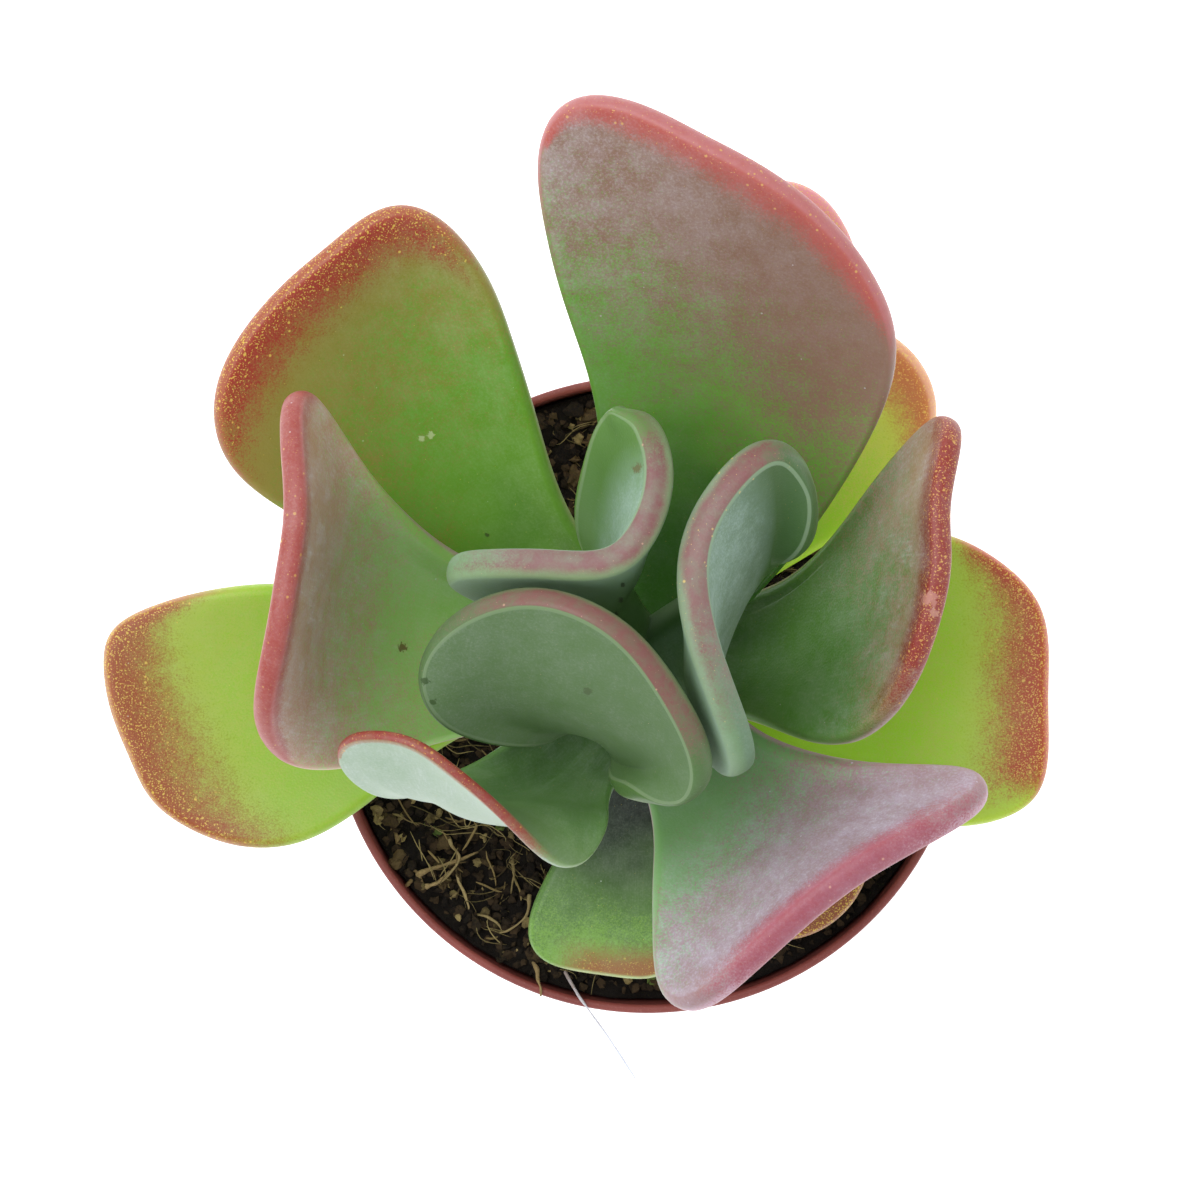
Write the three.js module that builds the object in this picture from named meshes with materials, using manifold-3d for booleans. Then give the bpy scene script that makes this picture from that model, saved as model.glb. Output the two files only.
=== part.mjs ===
// A paddle plant (Kalanchoe) in a round nursery pot: thick paddle leaves on one short stem, in soil.
// Millimetres, +Z up. The origin is the centre of the pot's foot, on the surface that the pot stands on.
// Bearings are compass angles in the ground plane, in degrees, counted anticlockwise from +X.

import * as THREE from "three";
import { mergeVertices } from "three/addons/utils/BufferGeometryUtils.js";
import Module from "manifold-3d";

const wasm = await Module();
wasm.setup();

const GAP = 0.3; // clearance kept between neighbouring pieces

const POT = {
  height: 92,
  rimRadius: 60,
  lip: 1.9, // width of the rolled lip, seen from above
  wall: 1.4,
  collarHeight: 15, // the wider band below the lip
  collarStep: 2.6, // how far the collar stands out of the wall
  footRadius: 43,
  floor: 1.6,
  drainLift: 2, // height of the drained ring of the floor over the ground
  drainRing: [14, 33], // inner and outer radius of that ring
  drainHoles: 8,
  drainRadius: 3.4,
  sides: 48,
};

const SOIL = {
  level: 85, // height of its middle
  sink: 1.2, // how much lower it lies at the wall
  bump: 0.8, // height of its unevenness
  rings: 7,
  litter: [15, 51], // the ring that crumbs, pebbles and straw lie in
  pebbles: 14,
  pebbleRadius: [1.5, 2.4],
  crumbs: 34,
  crumbRadius: [1, 1.8],
  straws: 22,
  strawRadius: 0.6,
  strawReach: [5, 12], // half the length of a straw
  strawLift: 0.8, // how far its middle stands over the soil
  strawRoot: 1.2, // how deep its ends are sunk
  seed: 7,
};

// The stem's axis runs straight from its foot in the soil to its head between the youngest leaves.
const STEM = {
  foot: new THREE.Vector3(0, 4, 60),
  head: new THREE.Vector3(-1, 8.5, 152),
  footRadius: 8.5,
  headRadius: 5.5,
  sides: 16,
};

// How every leaf grows, unless its own entry says otherwise.
const LEAF = {
  thickness: 4.4,
  neck: 0.24, // width at the stem, as a share of the full width
  shoulder: 0.85, // share of the length where the blade reaches its full width
  blunt: 3, // 2 is a round tip, and more is a squarer one
  trough: 28, // curl of both halves at the stem
  unfurl: 0.8, // share of the length where that curl has gone
  square: 2, // as blunt, but across: 2 is a round corner, and more is a squarer one
};

// The section of every blade, as shares of half its thickness.
const BLADE = {
  swell: 0.35, // added at the stem
  tuck: 0.55, // taken off the margins at the stem
  taper: 0.18, // taken off all along the margin
  edge: 6, // how suddenly that taper sets in
  round: 0.45, // how far the rounded rim stands out of the margin
  room: 1.4 * GAP, // clearance that an older leaf keeps around a younger one
};

// The nominal sizes of a leaf that follows a net.
const NETTED = {
  length: 100,
  half: [34, 34],
  foot: 8, // half its width at the stem's axis
  neck: 1,
  blunt: 8,
  square: 8,
};

// Each leaf, from the lowest up, with the height of its joint on the stem and its bearing. A flat one has the
// slope of its midrib at the stem, halfway and at the tip, its length, and the widths of its left and right
// half, looking out along it. A waved or folded one follows a net: three rows of five points, at a third,
// two thirds and the whole of its length, each from the left margin to the right one.
const LEAVES = [
  {
    name: "leaf_front_right_low",
    colour: 0x8fae4e,
    joint: 91,
    bearing: 314,
    slope: [22, 6, 0],
    length: 60,
    half: [19, 19],
  },
  {
    name: "leaf_front_low",
    colour: 0x7f9a52,
    joint: 96,
    bearing: 262,
    slope: [20, 6, -6],
    length: 60,
    half: [17, 19],
  },
  {
    name: "leaf_back_right_low",
    colour: 0x9db453,
    joint: 98,
    bearing: 75,
    slope: [30, 28, 25],
    length: 100,
    half: [22, 24],
  },
  {
    ...NETTED,
    name: "leaf_left_low",
    colour: 0xa3b84f,
    joint: 104,
    bearing: 188,
    net: [
      [[-32, -12, 118], [-33, -6, 115], [-33, 1, 114], [-33, 9, 115], [-32, 15, 118]],
      [[-63, -26, 124], [-65, -14, 121], [-66, -1, 120], [-67, 10, 121], [-66, 20, 124]],
      [[-88, -24, 124], [-92, -12, 125], [-96, -1, 125], [-98, 9, 125], [-96, 17, 124]],
    ],
  },
  {
    ...NETTED,
    name: "leaf_right_low",
    colour: 0xa5b850,
    joint: 104,
    bearing: 352,
    net: [
      [[21, 18, 114], [22, 11, 112], [23, 5, 111], [22, -2, 112], [20, -9, 114]],
      [[46, 29, 119], [46, 16, 116], [47, 3, 115], [46, -9, 116], [44, -20, 119]],
      [[68, 23, 119], [71, 11, 120], [72, 0, 120], [71, -11, 120], [68, -21, 119]],
    ],
  },
  {
    name: "leaf_back_right_mid",
    colour: 0x9fb654,
    joint: 110,
    bearing: 53,
    slope: [27, 27, 27],
    length: 80,
    half: [24, 26],
    blunt: 5,
  },
  {
    ...NETTED,
    name: "leaf_back_left",
    colour: 0xa9b650,
    joint: 113,
    bearing: 130,
    net: [
      [[-29, 19, 125], [-26, 24, 126], [-22, 28, 128], [-18, 30, 129], [-14, 30, 131]],
      [[-59, 33, 145], [-53, 44, 146], [-44, 54, 145], [-34, 60, 146], [-23, 57, 148]],
      [[-79, 47, 161], [-67, 67, 163], [-56, 77, 164], [-43, 84, 163], [-30, 79, 160]],
    ],
  },
  {
    ...NETTED,
    name: "leaf_right_tall",
    colour: 0x6f9160,
    joint: 121,
    bearing: 10,
    net: [
      [[24, 20, 138], [22, 17, 135], [20, 12, 133], [19, 5, 133], [16, -2, 136]],
      [[41, 40, 158], [39, 30, 155], [37, 20, 154], [34, 8, 154], [28, -5, 155]],
      [[52, 53, 173], [47, 36, 180], [46, 23, 182], [43, 10, 180], [38, -4, 172]],
    ],
  },
  {
    ...NETTED,
    name: "leaf_left_tall",
    colour: 0x8f8f66,
    joint: 123,
    bearing: 165,
    net: [
      [[-32, -5, 138], [-34, 4, 134], [-35, 13, 133], [-34, 20, 135], [-31, 23, 139]],
      [[-52, -10, 158], [-53, 2, 156], [-53, 16, 155], [-51, 30, 158], [-49, 39, 162]],
      [[-66, -9, 176], [-62, 6, 188], [-59, 20, 191], [-57, 36, 189], [-63, 58, 178]],
    ],
  },
  {
    ...NETTED,
    name: "leaf_back_tall",
    colour: 0x8a8a74,
    joint: 128,
    bearing: 95,
    net: [
      [[-10, 47, 160], [-2, 43, 157], [6, 40, 155], [15, 35, 157], [25, 28, 160]],
      [[-17, 72, 184], [-5, 69, 181], [7, 66, 180], [20, 61, 181], [37, 51, 182]],
      [[-20, 99, 200], [-5, 97, 203], [8, 92, 204], [21, 84, 203], [37, 68, 196]],
    ],
  },
  {
    ...NETTED,
    name: "leaf_front_right_tall",
    colour: 0x957a66,
    joint: 131,
    bearing: 305,
    net: [
      [[16, -5, 148], [13, -7, 144], [9, -9, 143], [6, -13, 144], [1, -18, 149]],
      [[37, -11, 163], [28, -16, 158], [19, -22, 157], [11, -28, 158], [1, -34, 164]],
      [[62, -11, 174], [41, -22, 181], [27, -31, 183], [15, -41, 181], [0, -54, 176]],
    ],
  },
  {
    ...NETTED,
    name: "leaf_front_left",
    colour: 0x7d9a5a,
    joint: 134,
    bearing: 222,
    foot: 6,
    net: [
      [[-7, -14, 150], [-13, -15, 149], [-18, -15, 148], [-22, -11, 150], [-23, -6, 153]],
      [[-8, -21, 163], [-19, -19, 168], [-31, -17, 170], [-37, -14, 173], [-44, -15, 167]],
      [[-13, -31, 172], [-22, -20, 184], [-32, -10, 191], [-42, -4, 191], [-57, -5, 186]],
    ],
  },
  {
    ...NETTED,
    name: "leaf_crown_back_left",
    colour: 0xb98f86,
    joint: 141,
    bearing: 110,
    foot: 5,
    net: [
      [[-15, 13, 165], [-10, 14, 163], [-7, 17, 162], [-6, 22, 162], [-9, 28, 165]],
      [[-29, 18, 182], [-18, 19, 184], [-5, 20, 185], [-4, 34, 180], [-9, 43, 182]],
      [[-38, 24, 193], [-21, 24, 199], [-6, 24, 202], [0, 37, 200], [-6, 54, 193]],
    ],
  },
  {
    ...NETTED,
    name: "leaf_crown_front_left",
    colour: 0xb4958a,
    joint: 147,
    bearing: 235,
    foot: 5,
    net: [
      [[-6, -11, 167], [-5, -7, 164], [-8, -2, 163], [-13, -2, 163], [-18, -5, 165]],
      [[-3, -14, 181], [0, -9, 178], [-9, -1, 183], [-25, 2, 180], [-35, -2, 182]],
      [[9, -17, 190], [5, -4, 198], [-6, 12, 203], [-20, 17, 200], [-42, 11, 191]],
    ],
  },
  {
    ...NETTED,
    name: "leaf_crown_right",
    colour: 0xb98c84,
    joint: 147,
    bearing: 12,
    foot: 5,
    net: [
      [[17, 25, 165], [14, 20, 163], [11, 14, 161], [9, 7, 161], [8, -1, 160]],
      [[25, 27, 180], [19, 30, 179], [13, 24, 183], [7, 8, 183], [11, -9, 180]],
      [[25, 40, 192], [17, 42, 198], [7, 29, 202], [8, 12, 202], [17, -12, 196]],
    ],
  },
];

const rad = THREE.MathUtils.degToRad;

// ---------------------------------------------------------------- solids

/** A closed three.js geometry as a manifold-3d solid. */
function solidOf(geometry) {
  const bare = geometry.clone();
  for (const name of Object.keys(bare.attributes)) if (name !== "position") bare.deleteAttribute(name);
  const merged = mergeVertices(bare, 1e-4);
  return new wasm.Manifold(
    new wasm.Mesh({
      numProp: 3,
      vertProperties: new Float32Array(merged.attributes.position.array),
      triVerts: new Uint32Array(merged.index.array),
    }),
  );
}

/** A manifold-3d solid as a three.js geometry. */
function geometryOf(solid) {
  const mesh = solid.getMesh();
  const geometry = new THREE.BufferGeometry();
  geometry.setAttribute("position", new THREE.BufferAttribute(new Float32Array(mesh.vertProperties), 3));
  geometry.setIndex(new THREE.BufferAttribute(new Uint32Array(mesh.triVerts), 1));
  geometry.computeVertexNormals();
  return geometry;
}

/** The largest separate body of a solid, without the scraps that a cut leaves. */
function largestBody(solid) {
  return solid.decompose().reduce((best, body) => (body.volume() > best.volume() ? body : best));
}

/** A solid of revolution about +Z from [radius, height] pairs that close on themselves or on the axis. */
function turned(profile, sides) {
  const points = profile.map(([radius, height]) => new THREE.Vector2(radius, height));
  const geometry = new THREE.LatheGeometry(points, sides).rotateX(Math.PI / 2);
  return solidOf(geometry);
}

// ---------------------------------------------------------------- stem

/** The point of the stem's axis at a height. */
function stemAxis(height) {
  const share = (height - STEM.foot.z) / (STEM.head.z - STEM.foot.z);
  return new THREE.Vector3().lerpVectors(STEM.foot, STEM.head, share).setZ(height);
}

/** The stem, or with a margin the room that it needs. */
function stemSolid(margin = 0) {
  const length = STEM.head.z - STEM.foot.z;
  const domed = STEM.headRadius * 0.6;
  const profile = [
    [0, -margin],
    [STEM.footRadius + margin, -margin],
    [STEM.headRadius + margin, length - domed],
    [STEM.headRadius * 0.7 + margin, length - domed * 0.25 + margin * 0.5],
    [0, length + margin],
  ];
  const lean = new THREE.Matrix4().makeShear(
    0, 0,
    0, 0,
    (STEM.head.x - STEM.foot.x) / length, (STEM.head.y - STEM.foot.y) / length,
  );
  const points = profile.map(([radius, height]) => new THREE.Vector2(radius, height));
  const geometry = new THREE.LatheGeometry(points, STEM.sides).rotateX(Math.PI / 2);
  geometry.applyMatrix4(lean).translate(STEM.foot.x, STEM.foot.y, STEM.foot.z);
  return solidOf(geometry);
}

// ---------------------------------------------------------------- leaves

const ROWS = 9; // from the stem to the tip
const COLUMNS = 10; // from the right margin to the left one
const CURVE_STEPS = 8; // panels of the integrals along the midrib and across the blade

/** A quantity given at the stem, halfway and at the tip, as a smooth curve along the leaf. */
function along(values, share) {
  const [atStem, halfway, atTip] = values;
  const a = 2 * (share - 0.5) * (share - 1);
  const b = -4 * share * (share - 1);
  const c = 2 * share * (share - 0.5);
  return a * atStem + b * halfway + c * atTip;
}

/** The smooth ramp from 0 to 1. */
function ramp(x) {
  const t = Math.min(1, Math.max(0, x));
  return t * t * (3 - 2 * t);
}

/** Simpson's rule on a function that gives an array of numbers. */
function integral(from, to, f) {
  const step = (to - from) / (2 * CURVE_STEPS);
  const sum = f(from).map(() => 0);
  for (let i = 0; i <= 2 * CURVE_STEPS; i += 1) {
    const weight = i === 0 || i === 2 * CURVE_STEPS ? 1 : i % 2 ? 4 : 2;
    f(from + i * step).forEach((value, k) => (sum[k] += (value * weight * step) / 3));
  }
  return sum;
}

/** The midrib's direction at a share of its length. */
function direction(leaf, share) {
  const bearing = rad(leaf.bearing);
  const slope = rad(along(leaf.slope, share));
  return [Math.cos(bearing) * Math.cos(slope), Math.sin(bearing) * Math.cos(slope), Math.sin(slope)];
}

/** The smooth curve through evenly spaced points, at a place counted in points from the first one. */
function spline(points, place) {
  const last = points.length - 1;
  const i = Math.min(last - 1, Math.max(0, Math.floor(place)));
  const x = place - i;
  const beyond = (near, next) => near.clone().multiplyScalar(2).sub(next);
  const b = points[i];
  const c = points[i + 1];
  const a = i > 0 ? points[i - 1] : beyond(b, c);
  const d = i + 2 <= last ? points[i + 2] : beyond(c, b);
  const curve = (k) => {
    const slope = c.getComponent(k) - a.getComponent(k);
    const lift = 2 * a.getComponent(k) - 5 * b.getComponent(k) + 4 * c.getComponent(k) - d.getComponent(k);
    const twist = 3 * (b.getComponent(k) - c.getComponent(k)) + d.getComponent(k) - a.getComponent(k);
    return b.getComponent(k) + 0.5 * x * (slope + x * (lift + x * twist));
  };
  return new THREE.Vector3(curve(0), curve(1), curve(2));
}

/** The middle of the thickness of a leaf that follows a net, where across runs from -1 to 1, leftwards. */
function netPoint(leaf, share, across) {
  const side = rad(leaf.bearing);
  const foot = leaf.net[0].map((_, j) => {
    const left = leaf.foot * (1 - j / 2);
    return stemAxis(leaf.joint).add(new THREE.Vector3(-Math.sin(side) * left, Math.cos(side) * left, 0));
  });
  const rows = [foot, ...leaf.net.map((row) => row.map((point) => new THREE.Vector3(...point)))];
  return spline(rows.map((row) => spline(row, 2 * (1 - across))), 3 * share);
}

/** The middle of the blade's thickness, at a share of the length and a distance left of the midrib. */
function bladePoint(leaf, share, left) {
  if (leaf.net) return netPoint(leaf, share, left / leaf.half[0]);
  const [x, y, z] = integral(0, share, (s) => direction(leaf, s));
  const centre = new THREE.Vector3(x, y, z).multiplyScalar(leaf.length).add(stemAxis(leaf.joint));
  const ahead = new THREE.Vector3(...direction(leaf, share));
  const bearing = rad(leaf.bearing);
  const across = new THREE.Vector3(-Math.sin(bearing), Math.cos(bearing), 0);
  const up = new THREE.Vector3().crossVectors(ahead, across);
  const side = left >= 0 ? 0 : 1;
  const half = halfWidth(leaf, share, side);
  const turn = rad(leaf.trough * (1 - ramp(share / leaf.unfurl)));
  const [out, rise] = integral(0, Math.abs(left), (y2) => {
    const angle = (turn * y2) / half;
    return [Math.cos(angle), Math.sin(angle)];
  });
  return centre.addScaledVector(across, Math.sign(left) * out).addScaledVector(up, rise);
}

/** The width of one half of the blade before its tip is rounded off. */
function halfWidth(leaf, share, side) {
  return leaf.half[side] * (leaf.neck + (1 - leaf.neck) * ramp(share / leaf.shoulder));
}

/** The place of a grid point in the flat leaf: the share of the length, and the distance left of the midrib. */
function flatPlace(leaf, t, v, margin) {
  const reach = t * (1 - Math.abs(v) ** leaf.square / 2) ** (1 / leaf.blunt);
  const side = v >= 0 ? 0 : 1;
  const width = halfWidth(leaf, reach, side) + margin;
  const left = v * (1 - t ** leaf.blunt / 2) ** (1 / leaf.square) * width;
  const spare = margin / leaf.length;
  return [reach * (1 + 2 * spare) - spare, left];
}

/** Half the blade's thickness at a grid point: stout at the stem, with slim margins. */
function halfThickness(leaf, share, t, v) {
  const near = 1 - Math.min(1, share);
  const swell = 1 + BLADE.swell * near ** 2;
  const tuck = 1 - BLADE.tuck * v * v * near;
  const taper = 1 - BLADE.taper * Math.max(Math.abs(v), t) ** BLADE.edge;
  return (leaf.thickness / 2) * swell * tuck * taper;
}

/** A leaf as one closed solid, or with a margin the room that it needs. */
function leafSolid(leaf, margin = 0) {
  const step = 0.01;
  const top = [];
  const bottom = [];
  const middle = [];
  const half = [];
  for (let i = 0; i <= ROWS; i += 1) {
    for (let j = 0; j <= COLUMNS; j += 1) {
      const t = i / ROWS;
      const v = (2 * j) / COLUMNS - 1;
      const [share, left] = flatPlace(leaf, t, v, margin);
      const point = bladePoint(leaf, share, left);
      const ahead = bladePoint(leaf, share + step, left).sub(bladePoint(leaf, share - step, left));
      const across = bladePoint(leaf, share, left + step).sub(bladePoint(leaf, share, left - step));
      const normal = ahead.cross(across).normalize();
      const h = halfThickness(leaf, share, t, v) + margin;
      middle.push(point);
      half.push(h);
      top.push(point.clone().addScaledVector(normal, h));
      bottom.push(point.clone().addScaledVector(normal, -h));
    }
  }
  const at = (i, j) => i * (COLUMNS + 1) + j;
  const path = [];
  const inward = [];
  const walk = (i, j, di, dj) => {
    path.push(at(i, j));
    inward.push(at(i + di, j + dj));
  };
  for (let i = 0; i < ROWS; i += 1) walk(i, 0, 0, 1);
  walk(ROWS, 0, -1, 1);
  for (let j = 1; j < COLUMNS; j += 1) walk(ROWS, j, -1, 0);
  walk(ROWS, COLUMNS, -1, -1);
  for (let i = ROWS - 1; i >= 0; i -= 1) walk(i, COLUMNS, 0, -1);
  const rim = path.map((k, n) => {
    const out = middle[k].clone().sub(middle[inward[n]]).normalize();
    return middle[k].clone().addScaledVector(out, half[k] * BLADE.round);
  });

  const count = top.length;
  const points = [...top, ...bottom, ...rim];
  const faces = [];
  for (let i = 0; i < ROWS; i += 1) {
    for (let j = 0; j < COLUMNS; j += 1) {
      const [a, b, c, d] = [at(i, j), at(i + 1, j), at(i + 1, j + 1), at(i, j + 1)];
      faces.push(a, b, c, a, c, d);
      faces.push(count + a, count + c, count + b, count + a, count + d, count + c);
    }
  }
  for (let k = 0; k + 1 < path.length; k += 1) {
    const [t0, t1] = [path[k], path[k + 1]];
    const [r0, r1] = [2 * count + k, 2 * count + k + 1];
    faces.push(t1, t0, r0, t1, r0, r1);
    faces.push(r1, r0, count + t0, r1, count + t0, count + t1);
  }
  for (let j = 0; j < COLUMNS; j += 1) {
    const [a, b] = [at(0, j), at(0, j + 1)];
    faces.push(a, b, count + b, a, count + b, count + a);
  }
  const lastRim = 2 * count + path.length - 1;
  faces.push(at(0, 0), count + at(0, 0), 2 * count);
  faces.push(count + at(0, COLUMNS), at(0, COLUMNS), lastRim);

  return new wasm.Manifold(
    new wasm.Mesh({
      numProp: 3,
      vertProperties: new Float32Array(points.flatMap((p) => p.toArray())),
      triVerts: new Uint32Array(faces),
    }),
  );
}

// ---------------------------------------------------------------- pot and soil

/** The radius of the pot's inner wall at a height. */
function potInnerRadius(height) {
  const neck = POT.height - POT.collarHeight;
  const wallTop = POT.rimRadius - POT.collarStep - POT.wall - 1.2;
  if (height >= neck) return POT.rimRadius - POT.lip - 0.4;
  return THREE.MathUtils.lerp(POT.footRadius - POT.wall, wallTop, height / neck);
}

/** The pot, with its collar, rolled lip, raised drain ring and drain holes. */
function potSolid() {
  const neck = POT.height - POT.collarHeight;
  const [drainIn, drainOut] = POT.drainRing;
  const wallTop = potInnerRadius(neck - 0.01) + POT.wall;
  const inner = POT.rimRadius - POT.lip;
  const profile = [
    [0, 0],
    [drainIn - 2, 0],
    [drainIn, POT.drainLift],
    [drainOut, POT.drainLift],
    [drainOut + 2, 0],
    [POT.footRadius - 1, 0],
    [POT.footRadius, 1],
    [wallTop, neck - 1.5],
    [POT.rimRadius - 1, neck],
    [POT.rimRadius - 0.5, POT.height - 2.6],
    [POT.rimRadius, POT.height - 1.9],
    [POT.rimRadius, POT.height - 0.7],
    [POT.rimRadius - 0.6, POT.height],
    [inner + 0.6, POT.height],
    [inner, POT.height - 0.7],
    [inner - 0.4, neck],
    [potInnerRadius(neck - 1.5), neck - 2.5],
    [potInnerRadius(POT.floor + POT.drainLift), POT.floor + POT.drainLift],
    [drainIn, POT.floor + POT.drainLift],
    [drainIn - 2, POT.floor],
    [0, POT.floor],
  ];
  const ring = (drainIn + drainOut) / 2;
  let pot = turned(profile, POT.sides);
  for (let k = 0; k < POT.drainHoles; k += 1) {
    const angle = (2 * Math.PI * k) / POT.drainHoles;
    const hole = new THREE.CylinderGeometry(POT.drainRadius, POT.drainRadius, 6 * POT.floor + 6, 12)
      .rotateX(Math.PI / 2)
      .translate(Math.cos(angle) * ring, Math.sin(angle) * ring, 0);
    pot = pot.subtract(solidOf(hole));
  }
  return pot;
}

/** The height of the soil's surface at a place. */
function soilHeight(x, y) {
  const outer = Math.hypot(x, y) / POT.rimRadius;
  const waves = Math.sin(0.31 * x + 1) * Math.cos(0.27 * y) + 0.6 * Math.sin(0.7 * y - 0.5 * x);
  return SOIL.level - SOIL.sink * outer ** 2 + SOIL.bump * waves;
}

/** A repeatable source of random numbers between two limits. */
function seeded(seed) {
  const modulus = 2 ** 32;
  let state = seed;
  return (low, high) => {
    state = (state * 1664525 + 1013904223) % modulus;
    return low + ((high - low) * state) / modulus;
  };
}

/** A place on the soil that is clear of the stem and of the wall. */
function soilPlace(random) {
  const [near, far] = SOIL.litter;
  const angle = random(0, 2 * Math.PI);
  const radius = Math.sqrt(random(near ** 2, far ** 2));
  return [radius * Math.cos(angle), radius * Math.sin(angle)];
}

/** One crumb or pebble, half sunk in the soil. */
function grainSolid(geometry, random) {
  const [x, y] = soilPlace(random);
  geometry.scale(random(0.8, 1.3), random(0.8, 1.3), random(0.6, 0.9));
  geometry.rotateZ(random(0, Math.PI));
  geometry.translate(x, y, soilHeight(x, y));
  return solidOf(geometry);
}

/** One straw of peat, bent up out of the soil between its sunk ends. */
function strawSolid(random) {
  const [x, y] = soilPlace(random);
  const angle = random(0, 2 * Math.PI);
  const reach = random(...SOIL.strawReach);
  const bend = random(-3, 3);
  const furthest = SOIL.litter[1] + 2;
  const point = (ahead, aside, lift) => {
    const place = new THREE.Vector2(ahead, aside).rotateAround(new THREE.Vector2(), angle);
    place.add(new THREE.Vector2(x, y)).clampLength(0, furthest);
    return new THREE.Vector3(place.x, place.y, soilHeight(place.x, place.y) + lift);
  };
  const extrudePath = new THREE.CatmullRomCurve3([
    point(-reach, 0, -SOIL.strawRoot),
    point(-reach / 3, bend, SOIL.strawLift),
    point(reach / 3, -bend / 2, SOIL.strawLift),
    point(reach, 0, -SOIL.strawRoot),
  ]);
  const r = SOIL.strawRadius;
  const corners = [[r, 0], [0, r], [-r, 0], [0, -r]];
  const section = new THREE.Shape(corners.map(([a, b]) => new THREE.Vector2(a, b)));
  return solidOf(new THREE.ExtrudeGeometry(section, { steps: 4, bevelEnabled: false, extrudePath }));
}

/** The soil: an uneven top with crumbs, pebbles and straw grown into it, and a plain hole for the stem. */
function soilSolid() {
  const neck = POT.height - POT.collarHeight;
  const base = POT.floor + POT.drainLift + GAP;
  const outer = potInnerRadius(neck) - 2 * GAP;
  const profile = [
    [0, base],
    [potInnerRadius(base) - 2 * GAP, base],
    [potInnerRadius(neck - 3) - 2 * GAP, neck - 3],
    [outer, neck + 0.5],
  ];
  for (let k = SOIL.rings; k >= 0; k -= 1) profile.push([(outer * k) / SOIL.rings, SOIL.level]);
  const points = profile.map(([radius, height]) => new THREE.Vector2(radius, height));
  const geometry = new THREE.LatheGeometry(points, POT.sides).rotateX(Math.PI / 2);
  const places = geometry.attributes.position;
  for (let k = 0; k < places.count; k += 1) {
    if (places.getZ(k) > SOIL.level - 1) places.setZ(k, soilHeight(places.getX(k), places.getY(k)));
  }
  const random = seeded(SOIL.seed);
  let soil = solidOf(geometry);
  for (let k = 0; k < SOIL.pebbles; k += 1) {
    soil = soil.add(grainSolid(new THREE.IcosahedronGeometry(random(...SOIL.pebbleRadius)), random));
  }
  for (let k = 0; k < SOIL.crumbs; k += 1) {
    soil = soil.add(grainSolid(new THREE.OctahedronGeometry(random(...SOIL.crumbRadius)), random));
  }
  for (let k = 0; k < SOIL.straws; k += 1) soil = soil.add(strawSolid(random));
  return largestBody(soil.subtract(stemSolid(GAP)));
}

// ---------------------------------------------------------------- the plant

const plant = new THREE.Group();

/** Adds a solid to the plant as a mesh of its own. */
function add(name, solid, color, roughness) {
  const skin = new THREE.MeshStandardMaterial({ color, roughness, metalness: 0 });
  const mesh = new THREE.Mesh(geometryOf(solid), skin);
  mesh.name = name;
  plant.add(mesh);
}

add("pot", potSolid(), 0x8f4a3b, 0.45);
add("soil", soilSolid(), 0x2b1f17, 1);
add("stem", stemSolid(), 0x7d8a4e, 0.7);

// Every leaf leaves room for the stem and for the younger leaves above it.
const leaves = LEAVES.map((entry) => ({ ...LEAF, ...entry }));
const rooms = leaves.map((leaf) => leafSolid(leaf, BLADE.room));
leaves.forEach((leaf, k) => {
  let solid = leafSolid(leaf).subtract(stemSolid(GAP));
  for (const room of rooms.slice(k + 1)) solid = solid.subtract(room);
  add(leaf.name, largestBody(solid), leaf.colour, 0.5);
});

export default plant;
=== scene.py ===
"""A paddle plant in a plastic nursery pot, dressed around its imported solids.

Sizes in the classes are in millimetres, as in the part's own source; only the litter's values are in
metres, as its trees take them. Meshes are made in metres, in the part's frame: the origin is the centre of
the pot's foot and +Z is up. Bearings lie in the ground plane, in degrees, counted anticlockwise from +X.
Colours are sRGB, from 0 to 255.
"""

from __future__ import annotations

import logging
import math
from dataclasses import dataclass, field, replace
from enum import Enum

import bpy
import numpy as np
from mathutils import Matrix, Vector, noise

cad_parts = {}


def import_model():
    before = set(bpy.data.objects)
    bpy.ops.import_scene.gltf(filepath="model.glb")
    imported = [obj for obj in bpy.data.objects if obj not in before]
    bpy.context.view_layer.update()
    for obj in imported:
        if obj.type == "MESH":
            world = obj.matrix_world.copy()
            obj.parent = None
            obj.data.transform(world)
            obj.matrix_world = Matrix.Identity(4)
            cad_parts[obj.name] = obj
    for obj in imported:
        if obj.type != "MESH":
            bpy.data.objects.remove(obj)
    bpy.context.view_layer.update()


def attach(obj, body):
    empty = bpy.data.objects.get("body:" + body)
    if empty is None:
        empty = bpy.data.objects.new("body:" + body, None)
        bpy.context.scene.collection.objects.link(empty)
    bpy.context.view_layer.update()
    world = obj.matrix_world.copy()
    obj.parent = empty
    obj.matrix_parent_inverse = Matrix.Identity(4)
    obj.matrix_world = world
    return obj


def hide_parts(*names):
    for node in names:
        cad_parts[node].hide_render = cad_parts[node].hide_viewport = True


LOG = logging.getLogger("paddle_plant")
MM = 0.001
BODY = "root"
COLOUR, NUMBER = "NodeSocketColor", "NodeSocketFloat"
MESH, FINISH = "NodeSocketGeometry", "NodeSocketMaterial"
GREY = (0.5, 0.5, 0.5, 1.0)
FULL_TURN = 6.283

Array = np.ndarray
Point = tuple[float, float, float]
Rgb = tuple[int, int, int]
Piece = bpy.types.Object
Tree = bpy.types.NodeTree
Material = bpy.types.Material


# ---------------------------------------------------------------- colours and node trees


class Kind(Enum):
    """What a node tree is for."""

    SHADER = "ShaderNodeTree"
    GEOMETRY = "GeometryNodeTree"


def linear(rgb: Rgb) -> tuple[float, float, float, float]:
    """Turns an sRGB colour into Blender's linear one, with an alpha of 1."""
    shares = (part / 255 for part in rgb)
    return (*(s / 12.92 if s <= 0.04045 else ((s + 0.055) / 1.055) ** 2.4 for s in shares), 1.0)


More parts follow.
